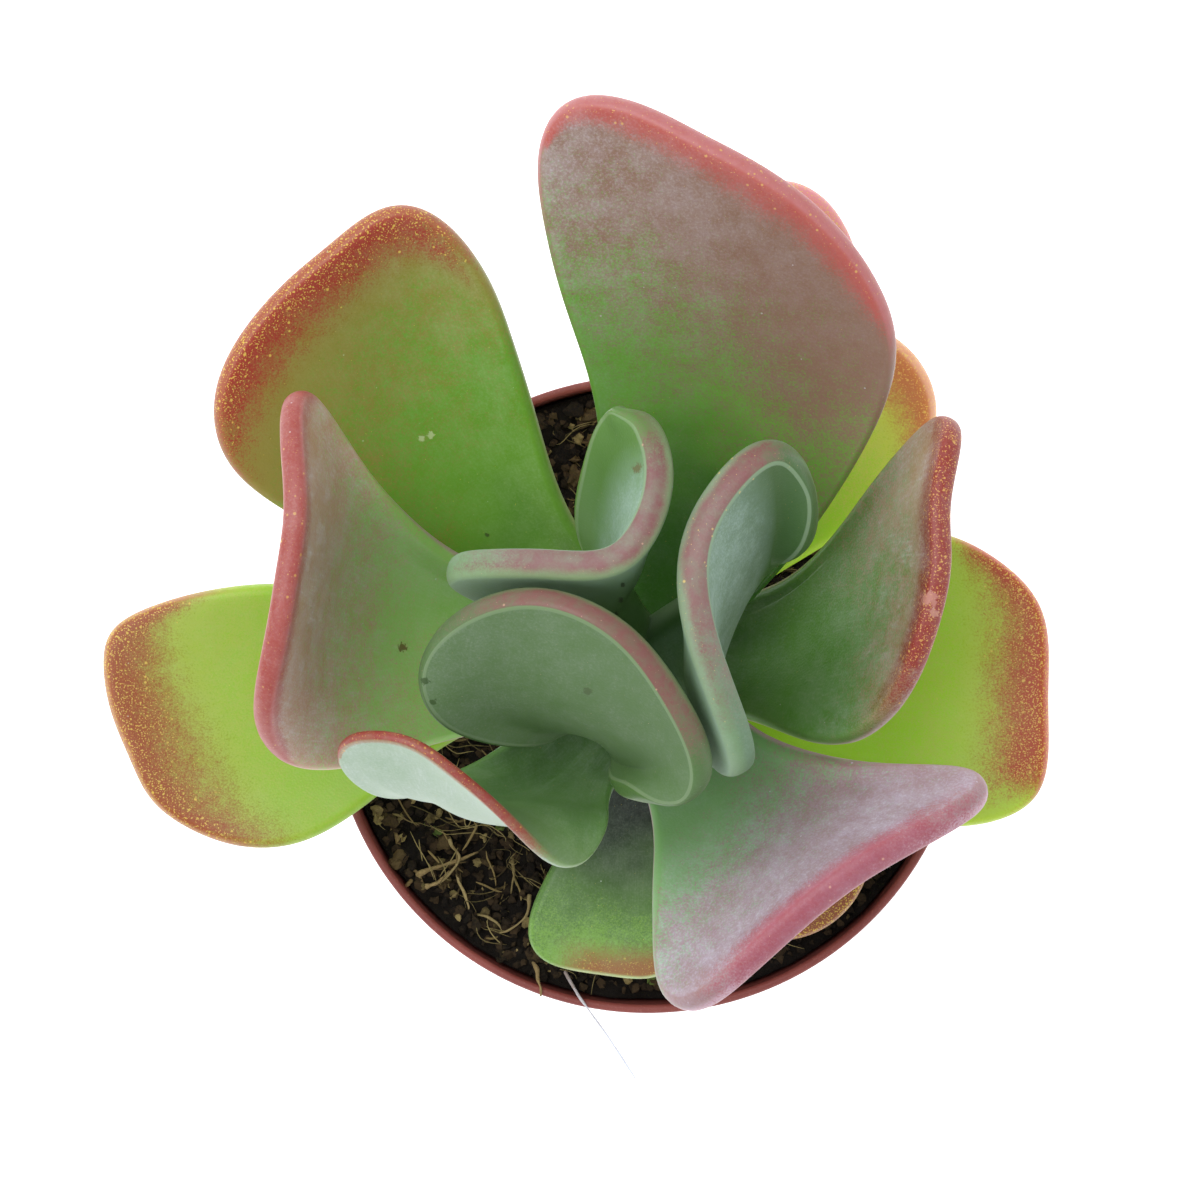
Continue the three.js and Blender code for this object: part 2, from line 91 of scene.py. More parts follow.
class Wire:
    """A value under way in a node tree, which can be reckoned with like a number."""

    def __init__(self, graph: Graph, socket: bpy.types.NodeSocket) -> None:
        """Takes one output of the graph's tree."""
        self.graph, self.socket = graph, socket

    def __add__(self, other: Wire | float) -> Wire:
        """The sum of the two."""
        return self.graph.math("ADD", self, other)

    def __sub__(self, other: Wire | float) -> Wire:
        """This value less another."""
        return self.graph.math("SUBTRACT", self, other)

    def __rsub__(self, other: float) -> Wire:
        """A number less this value."""
        return self.graph.math("SUBTRACT", other, self)

    def __mul__(self, other: Wire | float) -> Wire:
        """The product of the two."""
        return self.graph.math("MULTIPLY", self, other)

    def __truediv__(self, other: Wire | float) -> Wire:
        """This value divided by another."""
        return self.graph.math("DIVIDE", self, other)

    def __pow__(self, power: float) -> Wire:
        """This value raised to a power."""
        return self.graph.math("POWER", self, power)

    def __abs__(self) -> Wire:
        """This value without its sign."""
        return self.graph.math("ABSOLUTE", self)

    def at_least(self, other: Wire | float) -> Wire:
        """The greater of the two."""
        return self.graph.math("MAXIMUM", self, other)

    def at_most(self, other: Wire | float) -> Wire:
        """The smaller of the two."""
        return self.graph.math("MINIMUM", self, other)

    def ramp(self, start: Wire | float, end: Wire | float, low: float = 0.0, high: float = 1.0) -> Wire:
        """The smooth step of this value between two limits, which may be given in falling order."""
        values = {"Value": self, "From Min": start, "From Max": end, "To Min": low, "To Max": high}
        return self.graph.out("ShaderNodeMapRange", values, interpolation_type="SMOOTHSTEP")


class Graph:
    """A node tree under construction, for shaders and for Geometry Nodes alike."""

    def __init__(self, tree: Tree) -> None:
        """Starts with a tree that isn't a group's.

        Args:
            tree: the tree, which may already have nodes.
        """
        self.tree = tree
        self.source: bpy.types.Node | None = None
        self.sink: bpy.types.Node | None = None

    @classmethod
    def group(cls, name: str, kind: Kind, inputs: dict[str, object], outputs: dict[str, str]) -> Graph:
        """Makes a node group with named inputs and outputs.

        Args:
            name: the group's name.
            kind: what it is for.
            inputs: for each input its default: a number, a colour of four numbers, or a socket type's name.
            outputs: for each output its socket type's name.

        Returns:
            The graph, with an input node and an output node that take and give those values.
        """
        tree = bpy.data.node_groups.new(name, kind.value)
        words = {int: "NodeSocketInt", float: NUMBER, tuple: COLOUR}
        for label, default in inputs.items():
            named = isinstance(default, str)
            socket_type = default if named else words[type(default)]
            socket = tree.interface.new_socket(name=label, in_out="INPUT", socket_type=socket_type)
            if not named:
                socket.default_value = default
        for label, socket_type in outputs.items():
            tree.interface.new_socket(name=label, in_out="OUTPUT", socket_type=socket_type)
        graph = cls(tree)
        graph.source, graph.sink = graph.node("NodeGroupInput"), graph.node("NodeGroupOutput")
        return graph

    def node(self, kind: str, inputs: dict | None = None, **settings: object) -> bpy.types.Node:
        """Adds a node.

        Args:
            kind: the node's type name.
            inputs: for each input, by name or place, the constant or the wire that feeds it.
            settings: the node's own properties.

        Returns:
            The node.
        """
        made = self.tree.nodes.new(kind)
        for key, value in settings.items():
            setattr(made, key, value)
        for key, value in (inputs or {}).items():
            self.feed(made.inputs[key], value)
        return made

    def out(self, kind: str, inputs: dict | None = None, output: int | str = 0, **settings: object) -> Wire:
        """Adds a node, as above, and gives one of its outputs."""
        return Wire(self, self.node(kind, inputs, **settings).outputs[output])

    def feed(self, socket: bpy.types.NodeSocket, value: object) -> None:
        """Sets an input to a constant, or links it to another node's output.

        Args:
            socket: the input.
            value: the constant or the wire.
        """
        if isinstance(value, Wire):
            self.tree.links.new(value.socket, socket)
        else:
            socket.default_value = value

    def take(self, label: str) -> Wire:
        """The group's own input of that name."""
        return Wire(self, self.source.outputs[label])

    def give(self, label: str, value: Wire) -> None:
        """Feeds the group's own output of that name."""
        self.feed(self.sink.inputs[label], value)

    def placed(self, group: Tree, values: dict[str, object]) -> dict[str, Wire]:
        """Places a group with these values at its inputs, and gives its outputs by name."""
        made = self.node("ShaderNodeGroup", values, node_tree=group)
        return {output.name: Wire(self, output) for output in made.outputs}

    def math(self, operation: str, *values: Wire | float, clamp: bool = False) -> Wire:
        """The result of one arithmetic step."""
        return self.out("ShaderNodeMath", dict(enumerate(values)), operation=operation, use_clamp=clamp)

    def blend(self, share: Wire | float, low: Wire | Rgb, high: Wire | Rgb) -> Wire:
        """Mixes two colours.

        Args:
            share: how much of the second one there is, from 0 to 1.
            low: the first colour.
            high: the second one.

        Returns:
            The mixed colour.
        """
        values = {0: share}
        for place, shade in ((6, low), (7, high)):
            values[place] = shade if isinstance(shade, Wire) else linear(shade)
        return self.out("ShaderNodeMix", values, 2, data_type="RGBA", clamp_factor=True)

    def noise(self, size: float, detail: float, place: Wire, rough: float = 0.5) -> Wire:
        """Smooth noise around 0.5 whose features are so many millimetres wide."""
        values = {"Vector": place, "Scale": 1 / (size * MM), "Detail": detail, "Roughness": rough}
        return self.out("ShaderNodeTexNoise", values)

    def cells(self, size: float, place: Wire) -> list[Wire]:
        """Splits space into cells.

        Args:
            size: the width of a cell, in millimetres.
            place: the point that is looked at.

        Returns:
            The point's distance from the middle of its cell, and two numbers drawn for that cell.
        """
        cell = self.node("ShaderNodeTexVoronoi", {"Vector": place, "Scale": 1 / (size * MM)})
        drawn = self.node("ShaderNodeSeparateColor", {0: Wire(self, cell.outputs["Color"])})
        return [Wire(self, output) for output in (cell.outputs["Distance"], *drawn.outputs[:2])]

    def parts(self, place: Wire) -> list[Wire]:
        """The three parts of a vector."""
        return [Wire(self, part) for part in self.node("ShaderNodeSeparateXYZ", {0: place}).outputs]

    def reach(self, x: Wire, y: Wire) -> Wire:
        """How far from nought two parts together reach."""
        return self.math("SQRT", x**2.0 + y**2.0)

    def attribute(self, name: str) -> Wire:
        """A number that the mesh carries at its points."""
        return self.out("ShaderNodeAttribute", output="Fac", attribute_name=name)

    def place(self) -> Wire:
        """The shaded point in the object's own frame."""
        return self.out("ShaderNodeTexCoord", output="Object")

    def random(self, low: object, high: object, salt: int, kind: str = "FLOAT") -> Wire:
        """A random value for each point or instance, repeatable for the Geometry Nodes tree's own seed.

        Args:
            low: the lowest value.
            high: the highest value.
            salt: keeps this draw apart from the others.
            kind: FLOAT or FLOAT_VECTOR.

        Returns:
            The value.
        """
        first, output = (0, 0) if kind == "FLOAT_VECTOR" else (2, 1)
        values = {"Seed": self.take("Seed") + float(salt * 37), first: low, first + 1: high}
        return self.out("FunctionNodeRandomValue", values, output, data_type=kind)


class Surface(Graph):
    """A material under construction, with a bare Principled shader."""

    def __init__(self, name: str) -> None:
        """Makes the material.

        Args:
            name: its name.
        """
        self.material = bpy.data.materials.new(name)
        self.material.use_nodes = True
        super().__init__(self.material.node_tree)
        self.shader = self.tree.nodes["Principled BSDF"]

    def dress(self, values: dict[str, object]) -> None:
        """Sets or feeds the shader's inputs, by name."""
        for name, value in values.items():
            self.feed(self.shader.inputs[name], value)

    def bump(self, height: Wire, depth: float) -> None:
        """Raises the surface by a pattern from 0 to 1, and by so many millimetres at 1."""
        raised = self.out("ShaderNodeBump", {"Strength": 1.0, "Distance": depth * MM, "Height": height})
        self.dress({"Normal": raised})


# ---------------------------------------------------------------- shared shader groups


def blush_group(values: dict[str, object]) -> Tree:
    """The colour of a leaf's skin, from the stem to the tip, with a blush along the tip's edge; on some
    leaves the foot and blade colours also hold painted shade and painted light.

    Args:
        values: the group's inputs, with their defaults.

    Returns:
        A group that reads the leaf's own attributes and puts out the colour and how far the skin blushes.
    """
    graph = Graph.group("blush", Kind.SHADER, values, {"Color": COLOUR, "Flush": NUMBER})
    take, place = graph.take, graph.place()
    share, across, face = (graph.attribute(name) for name in ("share", "across", "face"))
    tip, end, edge = (graph.attribute(name) for name in ("tip", "end", "edge"))
    wander = graph.noise(15.0, 3.0, place) - 0.5
    fine = graph.noise(0.35, 2.0, place, 0.8) - 0.5
    patch = graph.noise(2.6, 3.0, place, 0.7) - 0.5
    stipple = (fine + patch * 0.4) * take("Stipple")
    grain = wander * 0.35 + stipple

    # The ground colour, from the stem to the tip, and that of the face below; the foot and blade colours
    # hold painted shade and painted light on some leaves.
    lit = (share + wander * 0.3).ramp(take("Blade from"), take("Blade to"))
    colour = graph.blend(lit, take("Foot"), take("Blade"))
    reach = share + across * take("Far lean") + grain
    colour = graph.blend(reach.ramp(take("Far from"), take("Far to")), colour, take("Far"))
    colour = graph.blend(face.ramp(0.35, -0.35) * 0.9, colour, take("Under"))

    # The blush beside the tip's edge, along a stretch of it.
    depth = (take("Flush depth") * (across * take("Lean") + 1.0)).at_least(0.3)
    near = tip / depth + grain * 2.2
    off_middle = abs(across - take("Rim middle"))
    stretch = (off_middle + grain * 0.8).ramp(take("Rim reach") + 0.25, take("Rim reach") - 0.25)
    flush = near.ramp(1.5, 0.1) * stretch
    colour = graph.blend(flush, colour, take("Flush"))

    # The band on the edge itself, and the pale ridge and the crisp line beside it.
    brink = take("Ridge share") * 0.14 + 0.75
    rim = abs(face).ramp(0.99, brink) * end.ramp(take("Rim from"), take("Rim to")) * stretch
    colour = graph.blend(rim * patch.ramp(-0.12, 0.2, 1.0, 0.7), colour, take("Rim"))
    outer = (face + (stipple * 0.5 + wander)).ramp(0.15, 0.85) * edge.ramp(4.5, 0.2)
    crisp = face.ramp(-0.91, -0.96) * edge.ramp(0.35, 0.05)
    colour = graph.blend(outer.at_least(crisp) * take("Ridge share"), colour, take("Ridge"))
    graph.give("Color", colour)
    graph.give("Flush", flush.at_least(rim * 0.5))
    return graph.tree


def fleck_group(values: dict[str, object]) -> Tree:
    """Small yellow flecks under the skin, which crowd towards the tip's edge where the skin blushes.

    Args:
        values: the group's inputs, with their defaults, but for the colour and the blush.

    Returns:
        A group that puts a colour in and out.
    """
    inputs = {"Color": GREY, "Where": 1.0, **values}
    graph = Graph.group("flecks", Kind.SHADER, inputs, {"Color": COLOUR})
    take, place = graph.take, graph.place()
    inward = graph.attribute("tip") / take("Depth") - (graph.noise(5.0, 2.0, place) - 0.5)
    near = inward.ramp(1.1, 0.0) * take("Share") * take("Where")
    limit = 0.76 - near * 0.2
    dot = graph.noise(0.3, 1.0, place).ramp(limit, limit + 0.05)
    distance, chance, draw = graph.cells(1.1, place)
    size = draw * 0.2 + 0.12
    disc = distance.ramp(size, size * 0.5) * graph.math("LESS_THAN", chance, near * 0.7)
    graph.give("Color", graph.blend(dot.at_least(disc) * 0.75, take("Color"), take("Fleck")))
    return graph.tree


def bloom_group(values: dict[str, object]) -> Tree:
    """The powdery bloom on a leaf, thinner where it is rubbed off, in faint streaks along the blade.

    Args:
        values: the group's inputs, with their defaults, but for the colour and the blush.

    Returns:
        A group that puts a colour in and out, and puts out the powder's share.
    """
    inputs, outputs = {"Color": GREY, "Flush": 0.0, **values}, {"Color": COLOUR, "Powder": NUMBER}
    graph = Graph.group("bloom", Kind.SHADER, inputs, outputs)
    take, place = graph.take, graph.place()
    share, across, face = (graph.attribute(name) for name in ("share", "across", "face"))
    cloud = graph.noise(6.0, 5.0, place, 0.75).ramp(0.3, 0.72)
    dust = graph.noise(0.45, 2.0, place, 0.7).ramp(0.42, 0.72)
    stretched = {"Vector": graph.out("ShaderNodeUVMap"), "Scale": (84.0, 13.0, 1.0)}
    lay = graph.out("ShaderNodeMapping", stretched)
    streak = graph.out("ShaderNodeTexNoise", {"Vector": lay, "Scale": 1.0, "Detail": 3.0})
    blade = abs(face).ramp(0.9, 1.0)
    rubbed = cloud * 0.5 + dust * 0.4 + streak.ramp(0.44, 0.72) * cloud * blade * take("Streaks")
    pattern = rubbed * (1.0 - take("Even")) + take("Even") * 0.5

    # How much there is: more below and towards the tip, and on one side of a fold.
    below = face.ramp(0.35, -0.35) * (take("Below") - take("Over"))
    amount = take("Over") + share.ramp(0.45, 0.95) * take("Towards tip") + below
    off_fold = ((across - take("Fold")) * take("Crease")).at_least(-1.0).at_most(1.0)
    amount = amount * (off_fold * take("Lean") + 1.0).at_least(0.0)
    kept = (1.0 - take("Flush") * 0.5) * (blade * 0.55 + 0.45)
    powder = graph.math("MULTIPLY", pattern * amount, kept, clamp=True)

    distance, chance, draw = graph.cells(2.4, place)
    size = draw**3.0 * 0.09 + 0.03
    shown = graph.math("LESS_THAN", chance, take("Specks"))
    powder = powder.at_least(distance.ramp(size, size * 0.4) * shown * 0.6)
    graph.give("Color", graph.blend(powder, take("Color"), take("Powder")))
    graph.give("Powder", powder)
    return graph.tree


def mark_group() -> Tree:
    """A small ragged scar or spot on a leaf.

    Returns:
        A group that puts a colour in and out, and takes the mark's colour, its place seen from above and
        its size.
    """
    inputs = {"Color": GREY, "Tint": GREY, "X": 0.0, "Y": 0.0, "Size": 1.0}
    graph = Graph.group("mark", Kind.SHADER, inputs, {"Color": COLOUR})
    place = graph.place()
    x, y, _ = graph.parts(place)
    ragged = (graph.noise(0.7, 3.0, place, 0.6) - 0.5) * 2.4
    reach = graph.reach(x - graph.take("X"), y - graph.take("Y")) / graph.take("Size") + ragged
    graph.give("Color", graph.blend(reach.ramp(1.0, 0.6) * 0.8, graph.take("Color"), graph.take("Tint")))
    return graph.tree


def skin_group() -> Tree:
    """The fine unevenness of a waxy skin.

    Returns:
        A group that puts out a height from 0 to 1.
    """
    graph = Graph.group("skin", Kind.SHADER, {}, {"Height": NUMBER})
    place = graph.place()
    graph.give("Height", graph.noise(5.0, 2.0, place) * 0.6 + graph.cells(0.45, place)[0] * 0.22)
    return graph.tree


class Groups:
    """The shader groups that the leaves share, each built once."""

    def __init__(self) -> None:
        """Builds them all, with a plain leaf's values as their defaults."""
        plain = LeafFinish()
        self.blush = blush_group(plain.blush())
        self.flecks = fleck_group(plain.flecking())
        self.bloom = bloom_group(plain.blooming())
        self.mark = mark_group()
        self.skin = skin_group()


# ---------------------------------------------------------------- meshes


def mesh_piece(name: str, points: Array, faces: list, smooth: bool = True) -> Piece:
    """Makes a mesh object.

    Args:
        name: the object's name.
        points: its points, in millimetres.
        faces: for each face its points' places in that list.
        smooth: whether its faces are shaded smooth.

    Returns:
        The object, linked to the scene, at the origin.
    """
    mesh = bpy.data.meshes.new(name)
    mesh.from_pydata((np.asarray(points) * MM).tolist(), [], faces)
    mesh.polygons.foreach_set("use_smooth", [smooth] * len(mesh.polygons))
    mesh.update()
    piece = bpy.data.objects.new(name, mesh)
    bpy.context.scene.collection.objects.link(piece)
    return piece


def finished(piece: Piece, slot: str, node: str | None = None, finish: Material | None = None) -> Piece:
    """Binds a piece to the body, hides the solid that it stands for and gives it its material if it needs
    one.

    Args:
        piece: the piece, in place.
        slot: the record's material slot, which is not used.
        node: the solid that it replaces, if it replaces one.
        finish: its material, if its mesh hasn't one yet.

    Returns:
        The piece.
    """
    if finish:
        piece.data.materials.append(finish)
    if node:
        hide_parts(node)
    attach(piece, BODY)
    LOG.info("%s: %d faces", piece.name, len(piece.data.polygons))
    return piece


def cleared(piece: Piece) -> None:
    """Turns a piece's evaluated shape into its plain mesh, and takes its modifiers off.

    Args:
        piece: the piece.
    """
    depsgraph = bpy.context.evaluated_depsgraph_get()
    shape = piece.evaluated_get(depsgraph)
    mesh = bpy.data.meshes.new_from_object(shape, preserve_all_data_layers=True, depsgraph=depsgraph)
    piece.modifiers.clear()
    piece.data = mesh


def carry(piece: Piece, name: str, values: Array) -> None:
    """Stores one number for each point of a mesh, under a name that its material reads."""
    layer = piece.data.attributes.new(name, "FLOAT", "POINT")
    layer.data.foreach_set("value", np.asarray(values, np.float32))


def unit(vectors: Array) -> Array:
    """Vectors made one long."""
    return vectors / np.maximum(np.linalg.norm(vectors, axis=-1, keepdims=True), 1e-9)


def smooth_step(value: Array) -> Array:
    """The smooth ramp from 0 to 1."""
    t = np.clip(value, 0, 1)
    return t * t * (3 - 2 * t)


def swell(points: Array, size: float, seed: float) -> Array:
    """Finds a soft unevenness, the same each time.

    Args:
        points: where to look.
        size: about how wide its waves are, in millimetres.
        seed: tells one unevenness from another.

    Returns:
        A height from -1 to 1 at each point.
    """
    x, y, z = np.moveaxis(points, -1, 0) / size
    first = np.sin(x + 1.3 * y + seed) * np.cos(1.1 * z - 0.7 * y + 2 * seed)
    second = np.sin(1.7 * y - 0.6 * x + 3 * seed) * np.cos(1.4 * x + z)
    return 0.5 * (first + second)


def sampled(path: Array, along: Array, share: Array) -> Array:
    """The points of a path at these shares of its length, where along gives the share at each of its own."""
    return np.stack([np.interp(share, along, part) for part in path.T], -1)


def spline(points: Array, place: Array) -> Array:
    """Finds points of the smooth curve through evenly spaced points.

    Args:
        points: one curve of n points, or one such curve for each place.
        place: where to look, counted in points from the first one.

    Returns:
        The point at each place.
    """
    before = 2 * points[..., :1, :] - points[..., 1:2, :]
    after = 2 * points[..., -1:, :] - points[..., -2:-1, :]
    padded = np.concatenate([before, points, after], axis=-2)
    index = np.clip(np.floor(place), 0, points.shape[-2] - 2).astype(int)
    x = (place - index)[..., None]
    if padded.ndim == 2:
        a, b, c, d = (padded[index + k] for k in range(4))
    else:
        rows = ((index + k)[..., None, None] for k in range(4))
        a, b, c, d = (np.take_along_axis(padded, row, -2)[..., 0, :] for row in rows)
    return b + 0.5 * x * (c - a + x * (2 * a - 5 * b + 4 * c - d + x * (3 * (b - c) + d - a)))


def relaxed(grid: Array, passes: int) -> Array:
    """Evens out a grid of points and rounds its outer corners off, while its first row stays.

    Args:
        grid: the points, which are moved.
        passes: how often that is done.

    Returns:
        The same grid.
    """
    for _ in range(passes):
        last = grid.copy()
        grid[1:-1] = last[1:-1] * 0.5 + (last[:-2] + last[2:]) * 0.25
        last = grid.copy()
        grid[1:, 1:-1] = last[1:, 1:-1] * 0.5 + (last[1:, :-2] + last[1:, 2:]) * 0.25
        for side, beside in ((0, 1), (-1, -2)):
            grid[-1, side] = last[-1, side] * 0.5 + (last[-2, side] + last[-1, beside]) * 0.25
    return grid


def normals(grid: Array, passes: int = 6) -> Array:
    """Finds a grid's normals, evened out so that the cramped cells at its corners don't count.

    Args:
        grid: the points.
        passes: how often the normals are evened out.

    Returns:
        A vector of length 1 for each point.
    """
    normal = np.cross(np.gradient(grid, axis=0), np.gradient(grid, axis=1))
    for _ in range(passes):
        normal[1:-1] = normal[1:-1] * 0.5 + (normal[:-2] + normal[2:]) * 0.25
        normal[:, 1:-1] = normal[:, 1:-1] * 0.5 + (normal[:, :-2] + normal[:, 2:]) * 0.25
        normal[-1], normal[:, 0], normal[:, -1] = normal[-2], normal[:, 1], normal[:, -2]
    return unit(normal)


def tube(path: Array, radii: Array, sides: int) -> tuple[Array, list]:
    """Sweeps a round section along a path.

    Args:
        path: the path's points.
        radii: the section's radius at each of them.
        sides: the section's sides.

    Returns:
        The points and the faces of a closed tube.
    """
    ahead = unit(np.gradient(path, axis=0))
    side = unit(np.cross(ahead, [0.13, 0.21, 0.97]))
    up = np.cross(ahead, side)
    turn = np.arange(sides) * 2 * math.pi / sides
    ring = np.cos(turn)[None, :, None] * side[:, None] + np.sin(turn)[None, :, None] * up[:, None]
    points = (path[:, None] + ring * np.asarray(radii)[:, None, None]).reshape(-1, 3)
    faces = []
    for i in range(len(path) - 1):
        for j in range(sides):
            k = (j + 1) % sides
            faces.append((i * sides + j, i * sides + k, (i + 1) * sides + k, (i + 1) * sides + j))
    faces.append(tuple(reversed(range(sides))))
    faces.append(tuple(range((len(path) - 1) * sides, len(path) * sides)))
    return points, faces


def turned(profile: Array, sides: int) -> tuple[Array, list]:
    """Turns a profile about the Z axis.

    Args:
        profile: radius and height of each point, anticlockwise, from the axis back to the axis.
        sides: how many times it is repeated.

    Returns:
        The points and the faces of the closed solid.
    """
    inner = profile[1:-1]
    turn = np.arange(sides) * 2 * math.pi / sides
    x = inner[None, :, 0] * np.cos(turn)[:, None]
    y = inner[None, :, 0] * np.sin(turn)[:, None]
    z = np.broadcast_to(inner[None, :, 1], x.shape)
    poles = [[0, 0, profile[0][1]], [0, 0, profile[-1][1]]]
    points = np.concatenate([np.stack([x, y, z], -1).reshape(-1, 3), poles])
    count, start, end = len(inner), len(points) - 2, len(points) - 1
    faces = []
    for i in range(sides):
        k = (i + 1) % sides
        for j in range(count - 1):
            faces.append((i * count + j, k * count + j, k * count + j + 1, i * count + j + 1))
        faces.append((start, k * count, i * count))
        faces.append((end, i * count + count - 1, k * count + count - 1))
    return points, faces


# ---------------------------------------------------------------- stem and leaves


class Habit(Enum):
    """How a leaf's blade is given: as a flat paddle, or as a net of points that it passes through."""

    FLAT = "flat"
    NETTED = "netted"


@dataclass(frozen=True)
class Mark:
    """A scar or a spot: its colour, its place seen from above and its radius."""

    tint: Rgb
    place: tuple[float, float]
    size: float

    def values(self) -> dict[str, object]:
        """What the mark group takes."""
        x, y = self.place
        return {"Tint": linear(self.tint), "X": x * MM, "Y": y * MM, "Size": self.size * MM}


@dataclass(frozen=True)
class LeafFinish:
    """The colours of one leaf, and where along and across it they change.

    The spans are shares of the length, and the stretch is the middle and the half width, as shares of the
    half blade, of the part of the tip's edge that blushes. The bloom has a share above and one below.
    """

    slot: str = "leaf_low"
    foot: Rgb = (100, 145, 62)
    blade: Rgb = (140, 178, 75)
    far: Rgb = (160, 172, 85)
    flush: Rgb = (178, 115, 80)
    under: Rgb = (150, 176, 120)
    rim: Rgb = (190, 150, 120)
    ridge: Rgb = (196, 206, 176)
    fleck: Rgb = (214, 190, 96)
    powder: Rgb = (200, 212, 198)
    blade_span: tuple[float, float] = (0.1, 0.5)
    far_span: tuple[float, float] = (0.5, 0.9)
    far_lean: float = 0.0
    flush_depth: float = 8.0
    lean: float = 0.0
    rim_span: tuple[float, float] = (0.8, 0.97)
    rim_stretch: tuple[float, float] = (0.0, 2.0)
    ridge_share: float = 0.0
    stipple: float = 0.5
    flecks: float = 0.5
    fleck_depth: float = 10.0
    bloom: tuple[float, float] = (0.06, 0.3)
    bloom_tip: float = 0.0
    bloom_lean: float = 0.0
    fold: tuple[float, float] = (0.0, 1.0)
    streaks: float = 0.3
    even: float = 0.0
    specks: float = 0.4
    glow: float = 0.3
    glow_reach: float = 4.0
    glow_tint: Point = (0.9, 1.0, 0.35)
    rough: tuple[float, float] = (0.4, 0.68)
    shine: float = 0.3
    relief: float = 0.12
    depth: float = 1.06
    marks: tuple[Mark, ...] = ()

    def blush(self) -> dict[str, object]:
        """Puts together what the blush group takes.

        Returns:
            The group's inputs, by name.
        """
        shades = ("foot", "blade", "far", "flush", "under", "rim", "ridge")
        return {
            **{shade.capitalize(): linear(getattr(self, shade)) for shade in shades},
            "Blade from": self.blade_span[0],
            "Blade to": self.blade_span[1],
            "Far from": self.far_span[0],
            "Far to": self.far_span[1],
            "Far lean": self.far_lean,
            "Flush depth": self.flush_depth,
            "Lean": self.lean,
            "Rim from": self.rim_span[0],
            "Rim to": self.rim_span[1],
            "Rim middle": self.rim_stretch[0],
            "Rim reach": self.rim_stretch[1],
            "Ridge share": self.ridge_share,
            "Stipple": self.stipple,
        }

    def flecking(self) -> dict[str, object]:
        """What the fleck group takes of the finish itself."""
        return {"Fleck": linear(self.fleck), "Share": self.flecks, "Depth": self.fleck_depth}

    def blooming(self) -> dict[str, object]:
        """Puts together what the bloom group takes of the finish itself.

        Returns:
            The group's inputs, by name.
        """
        return {
            "Powder": linear(self.powder),
            "Over": self.bloom[0],
            "Below": self.bloom[1],
            "Towards tip": self.bloom_tip,
            "Lean": self.bloom_lean,
            "Fold": self.fold[0],
            "Crease": self.fold[1],
            "Streaks": self.streaks,
            "Even": self.even,
            "Specks": self.specks,
        }

    def material(self, name: str, groups: Groups) -> Material:
        """Builds the leaf's material.

        Args:
            name: the material's name.
            groups: the shared shader groups.

        Returns:
            The material.
        """
        surface = Surface(name)
        skin = surface.placed(groups.blush, self.blush())
        flecks = {**self.flecking(), "Color": skin["Color"], "Where": skin["Flush"]}
        dotted = surface.placed(groups.flecks, flecks)
        bloom = {**self.blooming(), "Color": dotted["Color"], "Flush": skin["Flush"]}
        powdered = surface.placed(groups.bloom, bloom)
        colour = powdered["Color"]
        for mark in self.marks:
            colour = surface.placed(groups.mark, {"Color": colour, **mark.values()})["Color"]
        surface.dress({
            "Base Color": surface.out("ShaderNodeGamma", {"Color": colour, "Gamma": self.depth}),
            "Roughness": powdered["Powder"].ramp(0.0, 0.5, *self.rough),
            "Specular IOR Level": self.shine,
            "Subsurface Weight": self.glow,
            "Subsurface Radius": self.glow_tint,
            "Subsurface Scale": self.glow_reach * MM,
        })
        surface.bump(surface.placed(groups.skin, {})["Height"], self.relief)
        return surface.material


@dataclass(frozen=True)
class StemSkin:
    """The stem's skin: green above, corky and brown from the cork's top down, and wholly so lower down."""

    dark: Rgb = (112, 132, 74)
    light: Rgb = (142, 152, 96)
    cork: Rgb = (126, 104, 72)
    crack: Rgb = (84, 78, 48)
    cork_top: float = 112
    cork_whole: float = 96
    cork_wander: float = 14
    rough: tuple[float, float] = (0.55, 0.8)
    relief: float = 0.4

    def material(self) -> Material:
        """Builds the skin's material.

        Returns:
            The material.
        """
        surface = Surface("stem_skin")
        place = surface.place()
        wander = surface.noise(6.0, 4.0, place) * (self.cork_wander * MM)
        cork = (surface.parts(place)[2] + wander).ramp(self.cork_top * MM, self.cork_whole * MM)
        fine = surface.noise(0.8, 4.0, place, 0.7)
        colour = surface.blend(surface.noise(3.0, 3.0, place), self.dark, self.light)
        colour = surface.blend(cork, colour, self.cork)
        colour = surface.blend(fine * 0.4, colour, self.crack)
        surface.dress({"Base Color": colour, "Roughness": fine.ramp(0.2, 0.8, *self.rough)})
        surface.bump(fine, self.relief)
        return surface.material


